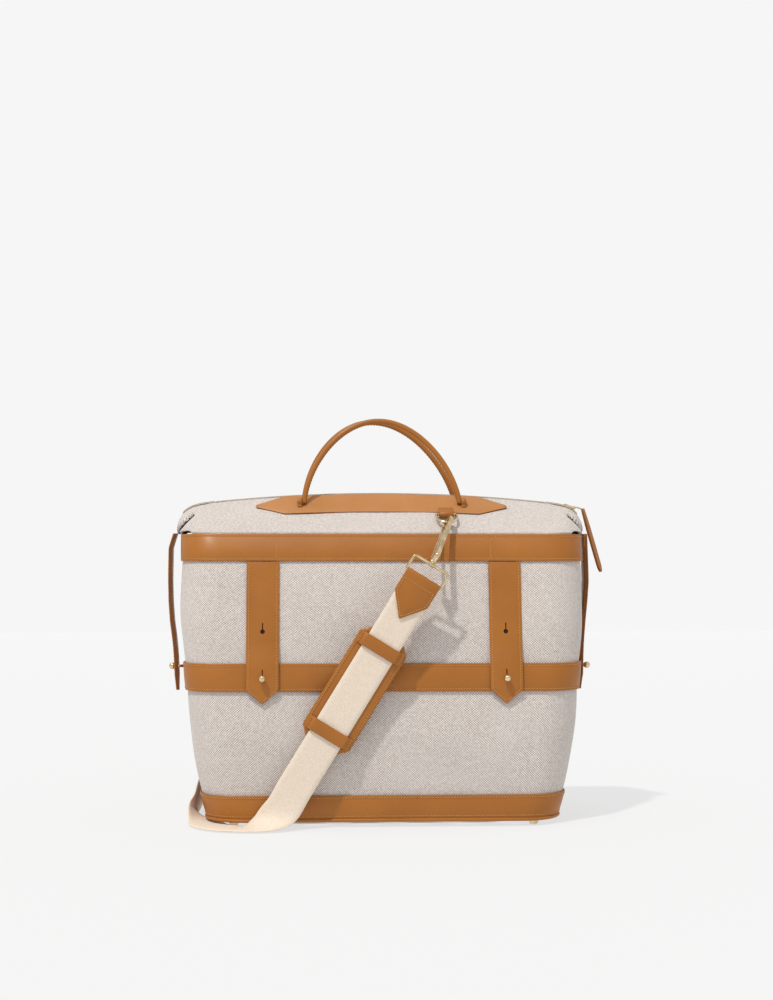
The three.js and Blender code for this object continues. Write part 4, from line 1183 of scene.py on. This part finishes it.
ROUTE = [
    (along_front(6), STRAP_ACROSS),
    (along_front(90), STRAP_ACROSS),
    (along_front(175), STRAP_ACROSS),
    (along_front(259), STRAP_ACROSS),
    (along_front(288), vec(0.84, -0.14, -0.52)),
    (vec(-128, -120, 8.5), vec(0.55, -0.78, -0.28)),
    (vec(-148, -119, 2.4), vec(0.1, -0.99, 0)),
    (vec(-168, -113, 2.3), vec(-0.45, -0.89, 0)),
    (vec(-183, -101, 2.3), vec(-0.87, -0.5, 0)),
    (vec(-192, -82, 2.3), vec(-0.95, -0.3, 0)),
    (vec(-198, -62, 4), vec(-0.7, -0.7, 0.1)),
    (vec(-205, -48, 11), vec(-0.35, -0.75, 0.5)),
    (vec(-206, -34, 16), vec(-0.05, -0.7, 0.7)),
    (vec(-206, -12, 19.6), vec(0, -0.45, 0.9)),
    (vec(-206, 15, 20), vec(0, -0.1, 1)),
    (vec(-206, 50, 20), vec(0, 0, 1)),
    (vec(-205, 85, 20), vec(0, 0, 1)),
    (vec(-197, 115, 20), vec(0, 0, 1)),
    (vec(-175, 137, 20), vec(0, 0, 1)),
    (vec(-145, 143, 21), vec(-0.1, 0.05, 1)),
    (vec(-112, 137, 32), vec(-0.4, 0.3, 0.85)),
    (vec(-88, 125, 54), vec(-0.8, 0.3, 0.5)),
    (vec(-74, 115, 86), vec(-1, 0.1, 0.2)),
    (vec(-70, 112, 122), vec(-1, 0, 0)),
    (vec(-70, 112, 162), vec(-1, 0, 0)),
]


def smooth_line(points, steps, power):
    """A Catmull-Rom line through points, steps to a span; power 0.25 is centripetal and 0 is uniform."""
    points = np.array(points)
    ends = [2 * points[0] - points[1], *points, 2 * points[-1] - points[-2]]
    found = []
    for i in range(len(points) - 1):
        p = ends[i : i + 4]
        gaps = [max(1e-4, float((b - a).dot(b - a)) ** power) for a, b in zip(p, p[1:])]
        first = (p[1] - p[0]) / gaps[0] - (p[2] - p[0]) / (gaps[0] + gaps[1]) + (p[2] - p[1]) / gaps[1]
        last = (p[2] - p[1]) / gaps[1] - (p[3] - p[1]) / (gaps[1] + gaps[2]) + (p[3] - p[2]) / gaps[2]
        first, last = first * gaps[1], last * gaps[1]
        for t in np.arange(steps) / steps:
            h = 2 * t**3 - 3 * t**2 + 1, t**3 - 2 * t**2 + t, -2 * t**3 + 3 * t**2, t**3 - t**2
            found.append(h[0] * p[1] + h[1] * first + h[2] * p[2] + h[3] * last)
    return np.array(found + [points[-1]])


def make_webbing():
    path = smooth_line([point for point, _ in ROUTE], 8, 0.25)
    across = np.array([unit(w) for w in smooth_line([width for _, width in ROUTE], 8, 0)])
    out = square_to(path, across)
    half, thick = STRAP_WIDTH / 2, WEBBING / 2
    face = [(half * x, thick) for x in np.linspace(0.965, -0.965, 9)]
    section = [(half, 0.15)] + face + [(-half, 0.15), (-half, -0.15)]
    section += [(x, -y) for x, y in face[::-1]] + [(half, -0.15)]
    grid = sweep(path, across, out, section)
    webbing = grid_object("shoulder_strap", grid, [WEBBING_CLOTH])
    done(webbing, "bag", "webbing", "shoulder_webbing")


# ---- Shoulder pad and its two bridges ----

PAD = {"length": 142, "width": 60, "corner": 12, "at": 139}
BRIDGE = {"wide": 14, "spacing": 105}


def swell(obj, cap):
    """Lets a thin pad fill out under light pressure, moving no point further than cap."""
    last_frame = 14
    start = np.array([v.co for v in settle(obj).data.vertices])
    cloth = obj.modifiers.new("cloth", "CLOTH")
    cloth.settings.use_pressure = True
    cloth.settings.uniform_pressure_force = 3.0
    cloth.settings.effector_weights.gravity = 0
    cloth.settings.tension_stiffness = 40
    cloth.settings.bending_stiffness = 8
    cloth.point_cache.frame_start, cloth.point_cache.frame_end = 1, last_frame
    for step in range(1, last_frame + 1):
        scene.frame_set(step)
    settle(obj)
    moved = np.array([v.co for v in obj.data.vertices]) - start
    far = np.linalg.norm(moved, axis=1, keepdims=True)
    moved *= np.minimum(1, cap * MM / np.maximum(far, 1e-9))
    obj.data.vertices.foreach_set("co", (start + moved).ravel())
    obj.data.update()
    scene.frame_set(1)


def make_pad():
    axes = cad_frame(along_front(PAD["at"]), STRAP_ACROSS, -STRAP_DOWN)
    x, y, corner = PAD["width"] / 2 - 0.6, PAD["length"] / 2 - 0.6, PAD["corner"]
    outline = [(-x + corner, -y), (x - corner, -y), (x, -y + corner), (x, y - corner)]
    outline += [(x - corner, y), (-x + corner, y), (-x, y - corner), (-x, -y + corner)]
    behind = 2.5 + WEBBING / 2 + 0.6
    pad_axes = (in_frame(axes, 0, 0, -behind), *axes[1:])
    pad = prism("pad_leather", outline, 3.8, pad_axes, LEATHER, 0.3)
    settle(pad)
    settle(modify(pad, "REMESH", mode="VOXEL", voxel_size=1.9 * MM))
    swell(pad, 1.2)
    settle(modify(pad, "SMOOTH", iterations=4))
    for v in pad.data.vertices:  # the webbing lies flat on the pad's face
        place = np.array(v.co) / MM - BASE_MIDDLE - axes[0]
        height = place.dot(axes[3])
        if height > -WEBBING / 2 - 0.35:
            v.co = Vector(in_metres(axes[0] + place - axes[3] * (height + WEBBING / 2 + 0.35)))
    done(pad, "shoulder_pad", "leather", "shoulder_pad")
    inset = 3.2
    rim = [(px * (1 - inset / x), py * (1 - inset / y)) for px, py in outline]
    rim.append(rim[0])
    for face, depth, word in ((1, 0.75, "face"), (-1, 5.75, "back")):
        line = [in_frame(axes, px, py, -depth - 0.3) for px, py in rim]
        stitches(f"pad_{word}_stitches", "shoulder_pad", [(line, axes[3] * face)])
    for word, v in (("upper", 1), ("lower", -1)):
        make_bridge(word, axes, v * BRIDGE["spacing"] / 2)


def make_bridge(word, axes, v):
    """A leather loop over the webbing, sewn to the pad at both ends."""
    stops = [(-26, -0.6), (-23.2, -0.3), (-21.4, 0.6), (-20, 2.2), (-18, 2.6), (0, 2.8)]
    stops += [(-x, n) for x, n in stops[-2::-1]]
    line = [in_frame(axes, x, v, n) for x, n in stops]
    line = smooth_line(line, 4, 0.25)
    section = leather_section(BRIDGE["wide"] / 2, 1.8, 0.5)
    bridge = strip(f"{word}_bridge_leather", line, axes[2], square_to(line, -axes[2]), section)
    done(bridge, "shoulder_pad", "leather", f"{word}_pad_bridge")
    rows = []
    for side in (-1, 1):
        ends = [in_frame(axes, side * 24.6, v + w, 0.75) for w in (-5.5, 5.5)]
        rows.append((ends, axes[3]))
    stitches(f"{word}_bridge_stitches", "shoulder_pad", rows)


# ---- Everything, in order ----

make_hardware()
make_webbing()
make_pad()
make_body()
make_bottom()
make_feet()
make_belts()
make_top()
make_zip()
make_pull()
make_handles()
make_front_straps()
make_side_straps()
